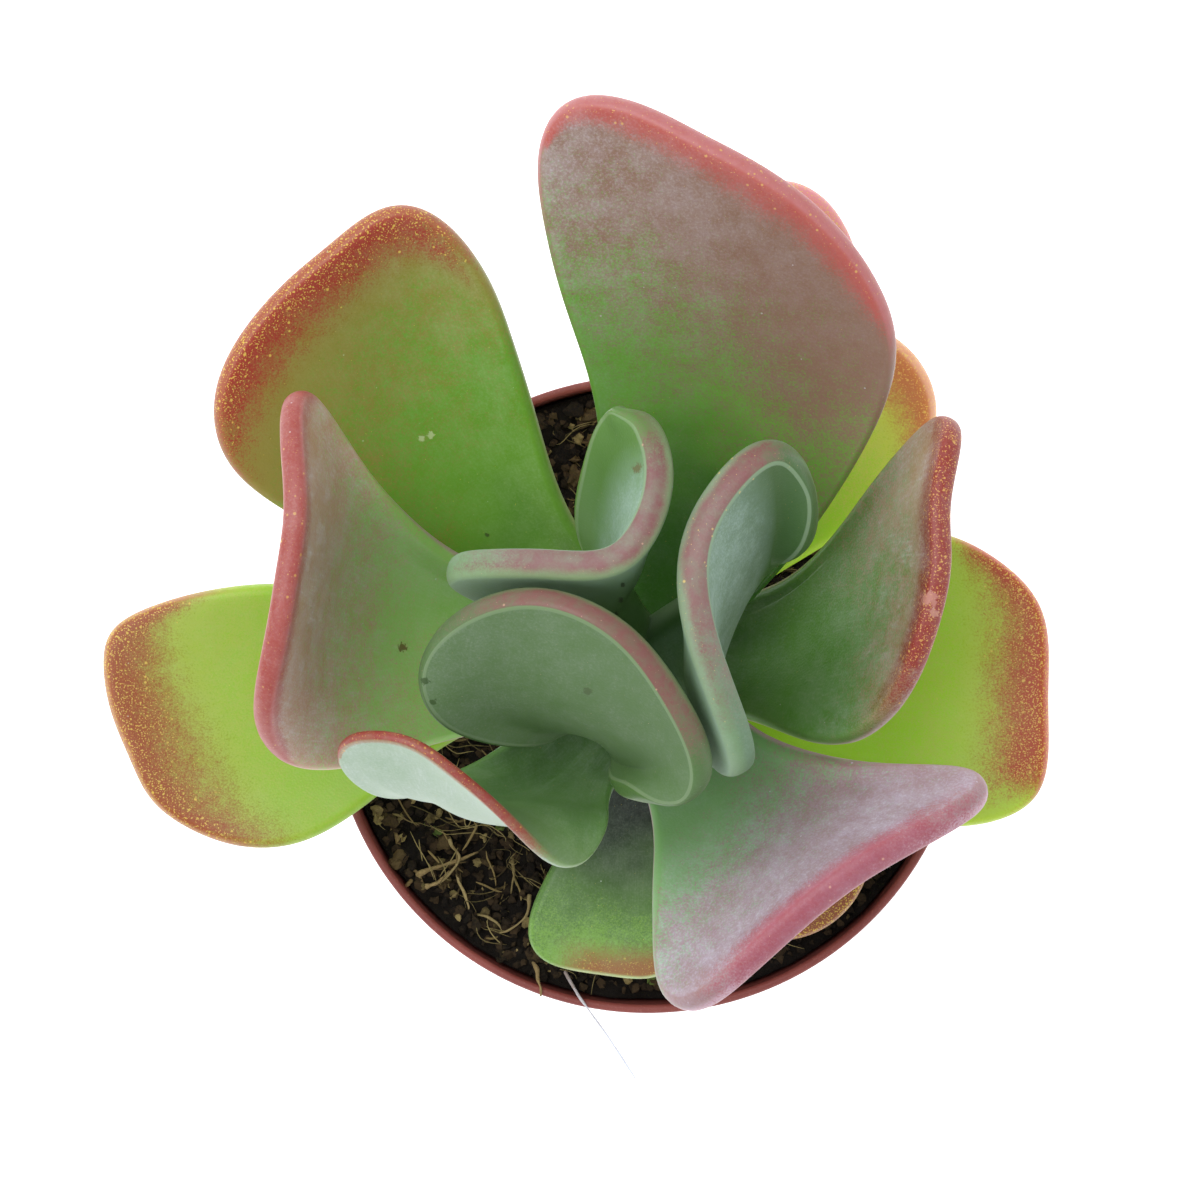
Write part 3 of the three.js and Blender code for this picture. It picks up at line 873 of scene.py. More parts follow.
@dataclass
class Stem:
    """The short upright stem, with the rings that fallen leaves leave on it."""

    foot: Point = (0, 4, 60)
    head: Point = (-1, 8.5, 152)
    foot_radius: float = 8.5
    head_radius: float = 5.5
    joints: tuple[float, ...] = (87, 91, 96, 98, 104, 110, 113, 121, 123, 128, 131, 134, 141, 147)
    ring: float = 0.55
    ring_width: float = 1.3
    dome: float = 0.6
    sides: int = 72
    steps: int = 190
    skin: StemSkin = StemSkin()

    def axis(self, height: Array | float) -> Array:
        """Finds the stem's axis.

        Args:
            height: one height, or more.

        Returns:
            The axis's point at each.
        """
        foot, head = np.array(self.foot, float), np.array(self.head, float)
        share = (np.asarray(height, float)[..., None] - foot[2]) / (head[2] - foot[2])
        return foot + (head - foot) * share

    def radius(self, height: Array) -> Array:
        """Finds the stem's radius, with a swelling at each joint and a domed head.

        Args:
            height: the heights.

        Returns:
            The radius at each.
        """
        share = (height - self.foot[2]) / (self.head[2] - self.foot[2])
        plain = self.foot_radius + (self.head_radius - self.foot_radius) * share
        for joint in self.joints:
            plain = plain + self.ring * np.exp(-(((height - joint) / self.ring_width) ** 2))
        dome = np.clip((self.head[2] - height) / (self.dome * self.head_radius), 0, 1)
        return plain * np.sqrt(1 - (1 - dome) ** 2 + 1e-6)

    def build(self) -> Piece:
        """Builds and dresses the stem.

        Returns:
            The stem's piece, which replaces its solid.
        """
        heights = np.linspace(self.foot[2] + 0.3, self.head[2] - 0.01, self.steps)
        profile = [(0, heights[0]), *zip(self.radius(heights), heights), (0, heights[-1])]
        points, faces = turned(np.array(profile), self.sides)
        turn, height = np.arctan2(points[:, 1], points[:, 0]), points[:, 2]
        uneven = 1 + 0.02 * np.sin(3 * turn + 0.2 * height) + 0.015 * np.sin(5 * turn - 0.5 * height)
        points[:, :2] *= uneven[:, None]
        points[:, :2] += self.axis(height)[:, :2]
        return finished(mesh_piece("stem_flesh", points, faces), "stem", "stem", self.skin.material())


@dataclass
class Leaf:
    """One paddle leaf. Left and right are as seen along it from the stem.

    A flat leaf has the slope of its midrib at the stem, halfway and at the tip, its length and the widths
    of its left and right half. A netted one passes through three rows of five points, at a third, two
    thirds and the whole of its length, each from the left margin to the right one. A nib is how far the
    right-hand corner of the tip is drawn out.

    The joint is the leaf's height on the stem. A flat leaf has the neck's share of its width at the stem and
    all of it at the shoulder, a share of the length. Its tip is rounded off by the powers blunt and square,
    and its halves are turned up by the trough's angle at the stem, until they unfurl. A netted leaf is twice
    its foot wide at the stem. The lip is half the thickness at the margin, and the swelling is how far the
    rim stands out beyond it, as a share of that half.
    """

    name: str
    joint: float
    bearing: float
    finish: LeafFinish
    slope: Point = (20, 10, 0)
    length: float = 100
    half: tuple[float, float] = (34, 34)
    blunt: float = 3
    square: float = 2
    neck: float = 0.24
    shoulder: float = 0.85
    trough: float = 28
    unfurl: float = 0.8
    net: tuple = ()
    foot: float = 8
    nib: Point = (0, 0, 0)
    nib_reach: float = 2.6
    nib_thinning: float = 0.5
    thickness: float = 4.4
    lip: float = 2.0
    swelling: float = 0.8
    waves: tuple[tuple[float, float], ...] = ((0.22, 17.0), (0.1, 7.0))
    rows: int = 84
    columns: int = 84
    rim_steps: int = 10
    rim_power: float = 0.85
    passes: int = 6
    samples: int = 400
    stem_swelling: float = 0.35
    side_thinning: float = 0.55
    margin: tuple[float, float] = (0.55, 0.97)
    inset: float = 0.35
    stem: Stem = field(default_factory=Stem)

    def __post_init__(self) -> None:
        """Sets the nominal outline of a netted leaf."""
        if self.habit is Habit.NETTED:
            self.neck, self.blunt, self.square, self.passes = 1.0, 8.0, 8.0, 40

    @property
    def habit(self) -> Habit:
        """How the blade is given."""
        return Habit.NETTED if self.net else Habit.FLAT

    @property
    def leftwards(self) -> Array:
        """The level direction to the leaf's left."""
        bearing = math.radians(self.bearing)
        return np.array([-math.sin(bearing), math.cos(bearing), 0])

    def half_width(self, share: Array, across: Array) -> Array:
        """The width of that half of the blade before its tip is rounded off."""
        half = np.where(across >= 0, self.half[0], self.half[1])
        return half * (self.neck + (1 - self.neck) * smooth_step(share / self.shoulder))

    def net_middle(self, share: Array, across: Array) -> Array:
        """The middle of the thickness of a netted blade.

        Args:
            share: the share of the length.
            across: the place from the right margin, -1, to the left one, 1.

        Returns:
            The points.
        """
        level = self.foot * (1 - np.arange(5) / 2)
        start = self.stem.axis(self.joint) + level[:, None] * self.leftwards
        rows = [start, *(np.array(row, float) for row in self.net)]
        crossed = np.stack([spline(row, 2 * (1 - across)) for row in rows], axis=-2)
        return spline(crossed, 3 * share)

    def flat_middle(self, share: Array, left: Array) -> Array:
        """The middle of the thickness of a flat blade, troughed near the stem.

        Args:
            share: the share of the length.
            left: the distance left of the midrib.

        Returns:
            The points.
        """
        along = np.linspace(0, 1, self.samples + 1)
        at_stem, halfway, at_tip = self.slope
        slope = 2 * (along - 0.5) * (along - 1) * at_stem - 4 * along * (along - 1) * halfway
        slope = np.radians(slope + 2 * along * (along - 0.5) * at_tip)
        bearing = math.radians(self.bearing)
        level = np.cos(slope)
        ahead = np.stack([np.cos(bearing) * level, np.sin(bearing) * level, np.sin(slope)], -1)
        steps = (ahead[1:] + ahead[:-1]) / 2 * (self.length / self.samples)
        midrib = np.concatenate([[[0, 0, 0]], np.cumsum(steps, axis=0)]) + self.stem.axis(self.joint)
        up = np.cross(ahead, self.leftwards)
        spine, rise = sampled(midrib, along, share), sampled(up, along, share)
        half = self.half_width(share, left)
        turn = np.radians(self.trough * (1 - smooth_step(share / self.unfurl))) + 1e-6
        angle = turn * np.abs(left) / half
        out = np.sin(angle) * half / turn * np.sign(left)
        height = (1 - np.cos(angle)) * half / turn
        return spine + out[..., None] * self.leftwards + height[..., None] * rise

    def middle(self, t: Array, v: Array) -> tuple[Array, Array]:
        """Finds the middle of the blade's thickness on its grid.

        Args:
            t: the grid's place from the stem, 0, to the tip, 1.
            v: the grid's place from the right margin, -1, to the left one, 1.

        Returns:
            The points, and the share of the length at each.
        """
        inset = self.inset * self.thickness / 2
        reach = t * (1 - np.abs(v) ** self.square / 2) ** (1 / self.blunt) * (1 - inset / self.length)
        width = self.half_width(reach, v)
        left = v * (1 - t**self.blunt / 2) ** (1 / self.square) * (width - inset)
        if self.habit is Habit.NETTED:
            points = self.net_middle(reach, left / self.half[0])
        else:
            points = self.flat_middle(reach, left)
        return relaxed(points, self.passes), reach

    def half_thickness(self, share: Array, t: Array, v: Array) -> Array:
        """Finds half the blade's thickness: more at the stem, and no more than the lip at the margin.

        Args:
            share: the share of the length.
            t: the grid's place from the stem, 0, to the tip, 1.
            v: the grid's place from the right margin, -1, to the left one, 1.

        Returns:
            Half the thickness at each grid point.
        """
        near, (start, end) = 1 - share, self.margin
        at_stem = 1 + self.stem_swelling * near**2
        half = self.thickness / 2 * at_stem * (1 - self.side_thinning * v * v * near)
        margin = smooth_step((np.maximum(np.abs(v), t) - start) / (end - start))
        return half + (np.minimum(half, self.lip) - half) * margin

    def to_tip(self, middle: Array) -> Array:
        """The distance from each point to the tip's edge, measured along the blade."""
        steps = np.linalg.norm(np.diff(middle, axis=0), axis=-1)
        return np.concatenate([np.cumsum(steps[::-1], axis=0)[::-1], np.zeros((1, middle.shape[1]))])

    def to_margin(self, middle: Array) -> Array:
        """Measures how far each point is from the nearest margin, along the blade.

        Args:
            middle: the grid of points.

        Returns:
            The distances.
        """
        steps = np.linalg.norm(np.diff(middle, axis=1), axis=-1)
        right = np.concatenate([np.zeros((middle.shape[0], 1)), np.cumsum(steps, axis=1)], axis=1)
        return np.minimum(np.minimum(right, right[:, -1:] - right), self.to_tip(middle))

    def pinch(self, middle: Array) -> Array:
        """How much each point is drawn out with the nib, from 0 to 1."""
        from_corner = np.linalg.norm(middle - middle[-1, 0], axis=-1)
        return np.exp(-((from_corner / self.nib_reach) ** 2)) * any(self.nib)

    def wave(self, middle: Array) -> Array:
        """The blade's gentle waves, at each point."""
        (height, size), (low_height, low_size) = self.waves
        return height * swell(middle, size, self.joint) + low_height * swell(middle, low_size, self.bearing)

    def rim(self, line: Array, normal: Array, half: Array, angle: Array) -> Array:
        """Rounds off the margin.

        Args:
            line: the margin's points, from the stem round the tip and back.
            normal: the blade's normal at each.
            half: half the blade's thickness at each.
            angle: the angle above the blade of each of the rim's rows.

        Returns:
            For each of the margin's points those of the rim.
        """
        out = unit(np.cross(np.gradient(line, axis=0), normal))
        bulge = np.sign(np.cos(angle)) * np.abs(np.cos(angle)) ** self.rim_power
        girth = half[:, None, None]
        swollen = out[:, None] * (girth * self.swelling * bulge[None, :, None])
        return line[:, None] + swollen + normal[:, None] * (girth * np.sin(angle)[None, :, None])

    def build(self, groups: Groups) -> Piece:
        """Builds and dresses the leaf.

        Args:
            groups: the shared shader groups.

        Returns:
            The leaf's piece, which replaces its solid.
        """
        rows, columns = np.linspace(0, 1, self.rows + 1), np.linspace(-1, 1, self.columns + 1)
        t, v = np.meshgrid(rows, columns, indexing="ij")
        middle, share = self.middle(t, v)
        pinch = self.pinch(middle)
        middle = middle + pinch[..., None] * np.array(self.nib)
        normal = normals(middle)
        half = self.half_thickness(share, t, v) * (1 - self.nib_thinning * pinch)
        middle = middle + normal * (self.wave(middle) * smooth_step(share * 4))[..., None]
        top, bottom = middle + normal * half[..., None], middle - normal * half[..., None]

        # The margin runs from the stem round the tip and back, and a rounded rim joins both faces along it.
        count = middle.shape[0] * middle.shape[1]
        at = np.arange(count).reshape(middle.shape[:2])
        path = np.concatenate([at[:-1, 0], at[-1, :-1], at[:0:-1, -1], at[0, -1:]])
        angle = math.pi / 2 * (1 - 2 * np.arange(1, self.rim_steps) / self.rim_steps)
        line, outward = middle.reshape(-1, 3)[path], normal.reshape(-1, 3)[path]
        rim = self.rim(line, outward, half.reshape(-1)[path], angle)
        points = np.concatenate([top.reshape(-1, 3), bottom.reshape(-1, 3), rim.reshape(-1, 3)])

        piece = mesh_piece(f"{self.name}_flesh", points, self.faces(at, path, count))
        carried = {"share": share, "across": v, "end": t, "tip": self.to_tip(middle)}
        carried["edge"] = self.to_margin(middle)
        for name, grid in carried.items():
            values = grid.reshape(-1)
            along_rim = np.repeat(values[path], self.rim_steps - 1)
            carry(piece, name, np.concatenate([values, values, along_rim]))
        faces = np.concatenate([np.ones(count), -np.ones(count), np.tile(np.sin(angle), len(path))])
        carry(piece, "face", faces)
        self.lay_flat(piece)
        skin = self.finish.material(f"{self.name}_skin", groups)
        return finished(piece, self.finish.slot, self.name, skin)

    def faces(self, at: Array, path: Array, count: int) -> list:
        """The faces of the closed blade.

        Args:
            at: the place of each grid point in the top's points.
            path: the margin's points, from the stem round the tip and back.
            count: how many points the top has.

        Returns:
            For each face its points.
        """
        a, b, c, d = at[:-1, :-1], at[1:, :-1], at[1:, 1:], at[:-1, 1:]
        upper = np.stack([a, b, c, d], -1).reshape(-1, 4)
        faces = upper.tolist() + (upper[:, ::-1] + count).tolist()
        steps = self.rim_steps - 1
        first = 2 * count + np.arange(len(path)) * steps
        rings = [path, *(first + k for k in range(steps)), path + count]
        for high, low in zip(rings[:-1], rings[1:]):
            faces += np.stack([high[1:], high[:-1], low[:-1], low[1:]], -1).tolist()
        base = at[0]
        faces += np.stack([base[:-1], base[1:], base[1:] + count, base[:-1] + count], -1).tolist()
        left, right = int(path[0]), int(path[-1])
        faces.append([left, left + count, *(int(first[0]) + k for k in reversed(range(steps)))])
        faces.append([right + count, right, *(int(first[-1]) + k for k in range(steps))])
        return faces

    def lay_flat(self, piece: Piece) -> None:
        """Gives the mesh a UV map: across the blade, and along it.

        Args:
            piece: the leaf, which carries both as attributes.
        """
        mesh = piece.data
        across, share = np.zeros(len(mesh.vertices), np.float32), np.zeros(len(mesh.vertices), np.float32)
        mesh.attributes["across"].data.foreach_get("value", across)
        mesh.attributes["share"].data.foreach_get("value", share)
        corners = np.zeros(len(mesh.loops), np.int32)
        mesh.loops.foreach_get("vertex_index", corners)
        flat = np.stack([0.5 + across * 0.5, share], -1)[corners]
        mesh.uv_layers.new(name="blade").data.foreach_set("uv", flat.reshape(-1))


# The six oldest leaves lie low: yellow-green, with a rusty edge full of yellow flecks; the front one has
# painted shade at its foot, the back one painted light through its blade.
LOW_FRONT_RIGHT = LeafFinish(
    foot=(66, 92, 60), blade=(110, 142, 76), far=(146, 132, 70), flush=(140, 80, 54), under=(120, 142, 98),
    rim=(150, 100, 66), fleck=(216, 190, 84), flush_depth=7, flecks=1.0, fleck_depth=20, glow=0.1,
)
# Painted shade: the foot, near black over half the blade, stands in for the shadow of the leaves above it.
LOW_FRONT = LeafFinish(
    foot=(26, 38, 30), blade=(84, 122, 54), far=(122, 164, 72), flush=(150, 106, 66), under=(120, 142, 98),
    rim=(168, 188, 130), fleck=(196, 176, 90), blade_span=(0.45, 0.85), far_span=(0.75, 1.0), flush_depth=4,
    flecks=0.7, fleck_depth=8, bloom=(0.12, 0.4), glow=0.1, rim_stretch=(0.4, 0.8),
)
LOW_LEFT = LeafFinish(
    foot=(136, 176, 54), blade=(142, 180, 54), far=(158, 176, 74), flush=(148, 80, 46),
    under=(150, 176, 100), rim=(176, 130, 100), fleck=(210, 190, 92), flush_depth=11, flecks=0.9,
    fleck_depth=24, glow=0.6, glow_reach=6, lean=0.4, stipple=0.9,
)
LOW_RIGHT = LeafFinish(
    foot=(132, 182, 30), blade=(156, 206, 42), far=(172, 196, 72), flush=(168, 78, 50), under=(140, 170, 80),
    rim=(190, 112, 100), fleck=(214, 190, 92), flush_depth=9, flecks=1.0, fleck_depth=20, glow=0.6,
    glow_reach=6, stipple=0.9, rim_stretch=(0.3, 1.05),
)
# Painted light: the foot and blade are painted brighter than the leaf's own yellow-green, standing in for
# light shining through it from below.
LOW_BACK = LeafFinish(
    foot=(160, 206, 60), blade=(180, 222, 70), far=(206, 214, 100), flush=(200, 134, 88),
    under=(170, 196, 100), rim=(216, 164, 140), fleck=(226, 200, 110), flecks=0.8, fleck_depth=18, glow=0.7,
    glow_reach=7, stipple=0.95,
)
BACK_PINK = LeafFinish(
    foot=(120, 160, 64), blade=(150, 182, 80), far=(196, 160, 110), flush=(214, 140, 142),
    under=(190, 160, 130), rim=(210, 140, 146), flush_depth=18, flecks=0.9, fleck_depth=20, glow=0.4,
)
# The full-grown leaves stand up: green at the stem, hazed with mauve above, red along the tip's edge.
TALL = LeafFinish(slot="leaf_tall", bloom=(0.15, 0.5))
TALL_BACK_LEFT = replace(
    TALL, foot=(78, 122, 56), blade=(106, 158, 50), far=(142, 134, 62), far_lean=0.12, flush=(156, 56, 46),
    under=(140, 160, 110), rim=(164, 96, 72), rim_stretch=(0.1, 0.95), lean=0.12, stipple=1.1,
    fleck=(220, 198, 92), flecks=0.85, fleck_depth=9, powder=(186, 206, 158), bloom=(0.16, 0.3),
    bloom_lean=-0.8, marks=(
        Mark((186, 200, 150), (-40.0, 46.0), 0.7), Mark((186, 200, 150), (-38.4, 46.6), 0.7),
        Mark((66, 78, 40), (-28.8, 29.3), 0.5),
    ),
)
TALL_BACK = replace(
    TALL, foot=(64, 112, 40), blade=(104, 158, 58), blade_span=(0.2, 0.5), far=(136, 106, 90),
    far_span=(0.38, 0.8), far_lean=-0.1, flush=(172, 88, 80), flush_depth=4, lean=-0.6,
    under=(160, 130, 120), rim=(178, 112, 112), stipple=1.0, fleck=(206, 170, 100), flecks=0.4,
    fleck_depth=4, powder=(200, 198, 204), bloom=(0.08, 0.3), bloom_tip=0.28, bloom_lean=0.7, streaks=0.15,
)
TALL_LEFT = replace(
    TALL, foot=(112, 162, 72), blade=(144, 188, 100), far=(182, 142, 120), far_span=(0.46, 0.88),
    flush=(172, 100, 96), flush_depth=2.5, under=(170, 140, 140), rim=(156, 74, 68), rim_span=(0.86, 0.98),
    stipple=1.3, fleck=(200, 160, 90), flecks=0.3, fleck_depth=3, powder=(208, 208, 208), bloom_tip=0.42,
    streaks=0.5, marks=(Mark((96, 66, 40), (-43.3, 9.7), 0.9),),
)
TALL_RIGHT = replace(
    TALL, foot=(58, 98, 50), blade=(94, 142, 62), far=(150, 122, 90), far_span=(0.62, 0.98), far_lean=0.16,
    flush=(134, 54, 44), flush_depth=3.6, lean=0.1, under=(160, 140, 130), rim=(142, 52, 44),
    rim_span=(0.86, 0.98), rim_stretch=(0.15, 0.95), stipple=1.0, fleck=(212, 170, 90), flecks=0.8,
    fleck_depth=4, powder=(200, 200, 200), bloom=(0.14, 0.4), bloom_tip=0.35, bloom_lean=0.2, streaks=0.45,
    marks=(Mark((184, 132, 120), (45.0, 18.2), 1.5), Mark((186, 140, 126), (45.8, 15.8), 0.9)),
)
TALL_FRONT_RIGHT = replace(
    TALL, foot=(98, 144, 84), blade=(116, 160, 98), far=(146, 112, 110), far_span=(0.52, 0.84),
    far_lean=0.12, flush=(168, 86, 96), flush_depth=2.2, under=(190, 150, 160), rim=(152, 72, 84),
    rim_stretch=(0.05, 0.68), stipple=1.2, fleck=(200, 150, 130), flecks=0.1, fleck_depth=3,
    powder=(212, 212, 232), bloom_tip=0.62, streaks=0.2, even=0.4,
)
TALL_FRONT_LEFT = replace(
    TALL, foot=(66, 100, 52), blade=(102, 144, 76), far=(124, 156, 100), far_span=(0.6, 0.95),
    flush=(150, 124, 96), flush_depth=0.6, under=(150, 172, 150), rim=(144, 60, 52), rim_span=(0.92, 0.99),
    rim_stretch=(-0.35, 1.0), fleck=(206, 160, 80), fleck_depth=3, powder=(204, 212, 210), bloom=(0.14, 0.5),
    streaks=0.6, glow=0.15,
)
# The youngest leaves stand folded: powdery, with a mauve-pink band between a thin edge and a pale ridge.
CROWN = LeafFinish(
    slot="leaf_crown", flush_depth=0.3, rim_span=(0.7, 0.9), ridge_share=0.85, stipple=0.7,
    fleck=(190, 150, 130), flecks=0.1, fleck_depth=2, bloom_tip=0.3, glow=0.18,
)
CROWN_BACK = replace(
    CROWN, foot=(84, 124, 52), blade=(106, 142, 80), far=(116, 150, 98), flush=(120, 140, 110),
    under=(92, 132, 62), rim=(126, 70, 74), rim_stretch=(0.0, 0.78), ridge=(124, 150, 106),
    powder=(158, 184, 170), bloom=(0.12, 0.62), bloom_tip=0.35, bloom_lean=0.9, fold=(-0.58, 5.0), even=0.6,
    glow=0.2, marks=(
        Mark((112, 104, 70), (-2.9, 39.1), 0.9), Mark((48, 56, 24), (-5.5, 17.9), 0.5),
        Mark((48, 56, 24), (-6.2, 15.6), 0.45), Mark((48, 56, 24), (-5.2, 20.4), 0.4),
    ),
)
CROWN_FRONT = replace(
    CROWN, foot=(54, 90, 32), blade=(84, 116, 58), far=(92, 122, 76), flush=(100, 122, 90),
    under=(76, 110, 52), rim=(128, 80, 78), rim_stretch=(-0.1, 0.62), ridge=(116, 140, 98),
    powder=(120, 138, 114), bloom=(0.18, 0.7), bloom_lean=-0.2, even=0.45, marks=(
        Mark((58, 80, 42), (-37.2, 5.0), 0.8), Mark((62, 84, 44), (-36.0, 1.4), 0.6),
        Mark((82, 98, 66), (-10.9, 3.2), 0.8),
    ),
)
CROWN_RIGHT = replace(
    CROWN, foot=(54, 92, 34), blade=(90, 124, 62), far=(106, 138, 92), flush=(116, 138, 108),
    under=(70, 104, 54), rim=(132, 82, 84), rim_stretch=(-0.03, 0.64), ridge=(130, 154, 122),
    fleck=(220, 190, 110), flecks=0.2, powder=(152, 176, 162), bloom=(0.2, 0.6), bloom_lean=-0.9,
    fold=(0.35, 5.0), even=0.6,
)

LEAVES = (
    Leaf("leaf_front_right_low", 91, 306, LOW_FRONT_RIGHT, slope=(22, 6, 0), length=59.2, half=(20, 20),
         blunt=5),
    Leaf("leaf_front_low", 96, 262, LOW_FRONT, slope=(20, 6, -6), length=58, half=(40, 44), blunt=6,
         square=4, neck=0.04, shoulder=2.2),
    Leaf("leaf_back_right_low", 98, 73, BACK_PINK, slope=(30, 28, 25), length=99, half=(23, 26)),
    Leaf("leaf_left_low", 104, 188, LOW_LEFT, net=(
        ((-31.5, -4, 118), (-33, 0, 115), (-33, 5, 114), (-33, 10, 115), (-32, 15, 118)),
        ((-62, -25, 124), (-65, -14, 121), (-66, -1, 120), (-67, 10, 121), (-66, 20, 124)),
        ((-87.5, -24, 124), (-91.5, -12, 125), (-96, -1, 125), (-97, 9, 125), (-94.5, 16.5, 124)),
    )),
    Leaf("leaf_right_low", 104, 352, LOW_RIGHT, net=(
        ((21, 18, 114), (22, 11, 112), (23, 5, 111), (22, -2, 112), (20, -9, 114)),
        ((46, 30, 119), (46, 16, 116), (47, 3, 115), (46, -9, 116), (44, -21, 119)),
        ((68.4, 24.4, 119), (71, 12, 120), (71, 0, 120), (71, -12, 120), (69, -24, 119)),
    )),
    Leaf("leaf_back_right_mid", 110, 52, LOW_BACK, slope=(27, 27, 27), length=79, half=(24, 22.5), blunt=5,
         neck=0.1, shoulder=1.1),
    Leaf("leaf_back_left", 113, 130, TALL_BACK_LEFT, net=(
        ((-29, 19, 125), (-26, 24, 126), (-22, 28, 128), (-18, 30, 129), (-14, 30, 131)),
        ((-60, 32, 145), (-53, 44, 146), (-44, 54, 145), (-34, 60, 146), (-23.3, 57.5, 148)),
        ((-82.3, 45.3, 161), (-66, 66, 163), (-55, 76, 164), (-43, 84, 163), (-29, 79, 160)),
    )),
    Leaf("leaf_right_tall", 121, 10, TALL_RIGHT, net=(
        ((24, 20, 138), (22, 17, 135), (20, 12, 133), (19, 5, 133), (16, -2, 136)),
        ((41, 40, 158), (39, 30, 155), (37, 20, 154), (34, 8, 154), (28, -6, 155)),
        ((54, 55.6, 173), (47.2, 36, 180), (47, 23, 182), (44, 10, 180), (38, -6, 172)),
    )),
    Leaf("leaf_left_tall", 123, 165, TALL_LEFT, net=(
        ((-32, -5, 138), (-34, 4, 134), (-35, 13, 133), (-34, 20, 135), (-31, 23, 139)),
        ((-52, -10, 158), (-53, 2, 156), (-53, 16, 155), (-51, 30, 158), (-49, 39, 162)),
        ((-67, -10, 176), (-63, 6, 188), (-60, 20.5, 191), (-58.3, 37, 189), (-63, 64, 178)),
    )),
    Leaf("leaf_back_tall", 128, 95, TALL_BACK, net=(
        ((-8, 47, 160), (-1, 43, 157), (6, 40, 155), (15, 35, 157), (25, 28, 160)),
        ((-15.6, 72.3, 184), (-5, 69, 181), (7, 66, 180), (20, 61, 181), (38, 51, 182)),
        ((-22.6, 101, 200), (-5, 96.3, 203), (7, 90.3, 204), (20.3, 83, 203), (39.7, 68.4, 196)),
    )),
    Leaf("leaf_front_right_tall", 131, 305, TALL_FRONT_RIGHT, thickness=5.2, lip=2.5, net=(
        ((16, -5, 148), (13, -7, 144), (9, -9, 143), (6, -13, 144), (1, -18, 149)),
        ((37, -11, 163), (28, -16, 158), (19, -22, 157), (11, -28, 158), (1, -34, 164)),
        ((69, -9.6, 174), (41, -22, 181), (27, -31, 183), (15, -42, 181), (0, -58, 176)),
    )),
    Leaf("leaf_front_left", 134, 222, TALL_FRONT_LEFT, foot=6, lip=0.95, net=(
        ((-7, -14, 150), (-13, -15, 149), (-18, -15, 148), (-22, -11, 150), (-23, -6, 153)),
        ((-8, -21, 163), (-19, -19, 168), (-31, -17, 170), (-37, -14, 173), (-44, -15, 167)),
        ((-13, -31, 172), (-22, -20, 184), (-32, -10, 191), (-42, -4, 191), (-59, -4, 186)),
    )),
    Leaf("leaf_crown_back_left", 141, 110, CROWN_BACK, foot=5, lip=3.0, thickness=4.9, swelling=0.55,
         nib=(-2.0, 0.2, 0.6), net=(
        ((-15, 13, 165), (-10, 14, 163), (-7, 17, 162), (-7, 22, 162), (-11.5, 28, 165)),
        ((-29, 19, 182), (-18, 21, 184), (-5, 21.5, 185), (-5, 34, 180), (-10, 43, 182)),
        ((-39, 24.4, 193), (-21, 24, 199), (-5.5, 24.4, 202), (0.9, 38, 200), (-3.6, 55.6, 193)),
    )),
    Leaf("leaf_crown_front_left", 147, 235, CROWN_FRONT, foot=5, lip=3.0, swelling=0.55, net=(
        ((-6, -11, 167), (-5, -7, 164), (-8, -2, 163), (-13, -2, 163), (-18, -5, 165)),
        ((-3, -14, 181), (0, -9, 178), (-9, -1, 183), (-25, 2, 180), (-35, -2, 182)),
        ((9.5, -17.5, 190), (6, -3.2, 198), (-5.6, 13.2, 203), (-21.5, 18.8, 200), (-42.5, 12, 191)),
    )),
    Leaf("leaf_crown_right", 147, 12, CROWN_RIGHT, foot=5, lip=3.0, thickness=5.2, swelling=0.55, net=(
        ((17, 25, 165), (14, 20, 163), (11, 14, 161), (9, 7, 161), (8, -1, 160)),
        ((25, 27, 180), (19, 30, 179), (13, 24, 183), (7, 8, 183), (11, -9, 180)),
        ((27, 39.5, 192), (17, 42, 198), (6.6, 29, 202), (7.3, 11.6, 202), (19, -15, 196)),
    )),
)


# ---------------------------------------------------------------- pot


@dataclass(frozen=True)
class Plastic:
    """The pot's terracotta-brown plastic: satin, mottled, scuffed at the lip and dusty with soil inside."""

    dark: Rgb = (122, 54, 48)
    light: Rgb = (138, 68, 60)
    scuff: Rgb = (186, 128, 112)
    dust: Rgb = (58, 38, 28)
    scuffed: float = 0.35
    scuff_depth: float = 3
    dusty: float = 0.8
    rough: tuple[float, float] = (0.5, 0.62)
    relief: float = 0.05

    def material(self, top: float, neck: float, inner_radius: float) -> Material:
        """Builds the plastic's material.

        Args:
            top: the height of the pot's lip.
            neck: the height of its collar's lower edge.
            inner_radius: the lip's inner radius.

        Returns:
            The material.
        """
        surface = Surface("pot_plastic")
        place = surface.place()
        x, y, z = surface.parts(place)
        cloud = surface.noise(11.0, 4.0, place, 0.6)
        fine = surface.noise(0.5, 3.0, place, 0.7)
        colour = surface.blend(cloud.ramp(0.3, 0.7), self.dark, self.light)
        scuffed = fine.ramp(0.55, 0.75) * z.ramp((top - self.scuff_depth) * MM, top * MM)
        colour = surface.blend(scuffed * self.scuffed, colour, self.scuff)
        inside = surface.reach(x, y).ramp((inner_radius - 0.1) * MM, (inner_radius - 0.5) * MM)
        inside = inside * z.ramp(neck * MM, (neck + 1) * MM)
        dusty = inside * surface.noise(2.5, 4.0, place, 0.7).ramp(0.35, 0.6)
        colour = surface.blend(dusty * self.dusty, colour, self.dust)
        surface.dress({"Base Color": colour, "Roughness": cloud.ramp(0.3, 0.7, *self.rough)})
        surface.bump(fine + cloud * 0.5, self.relief)
        return surface.material


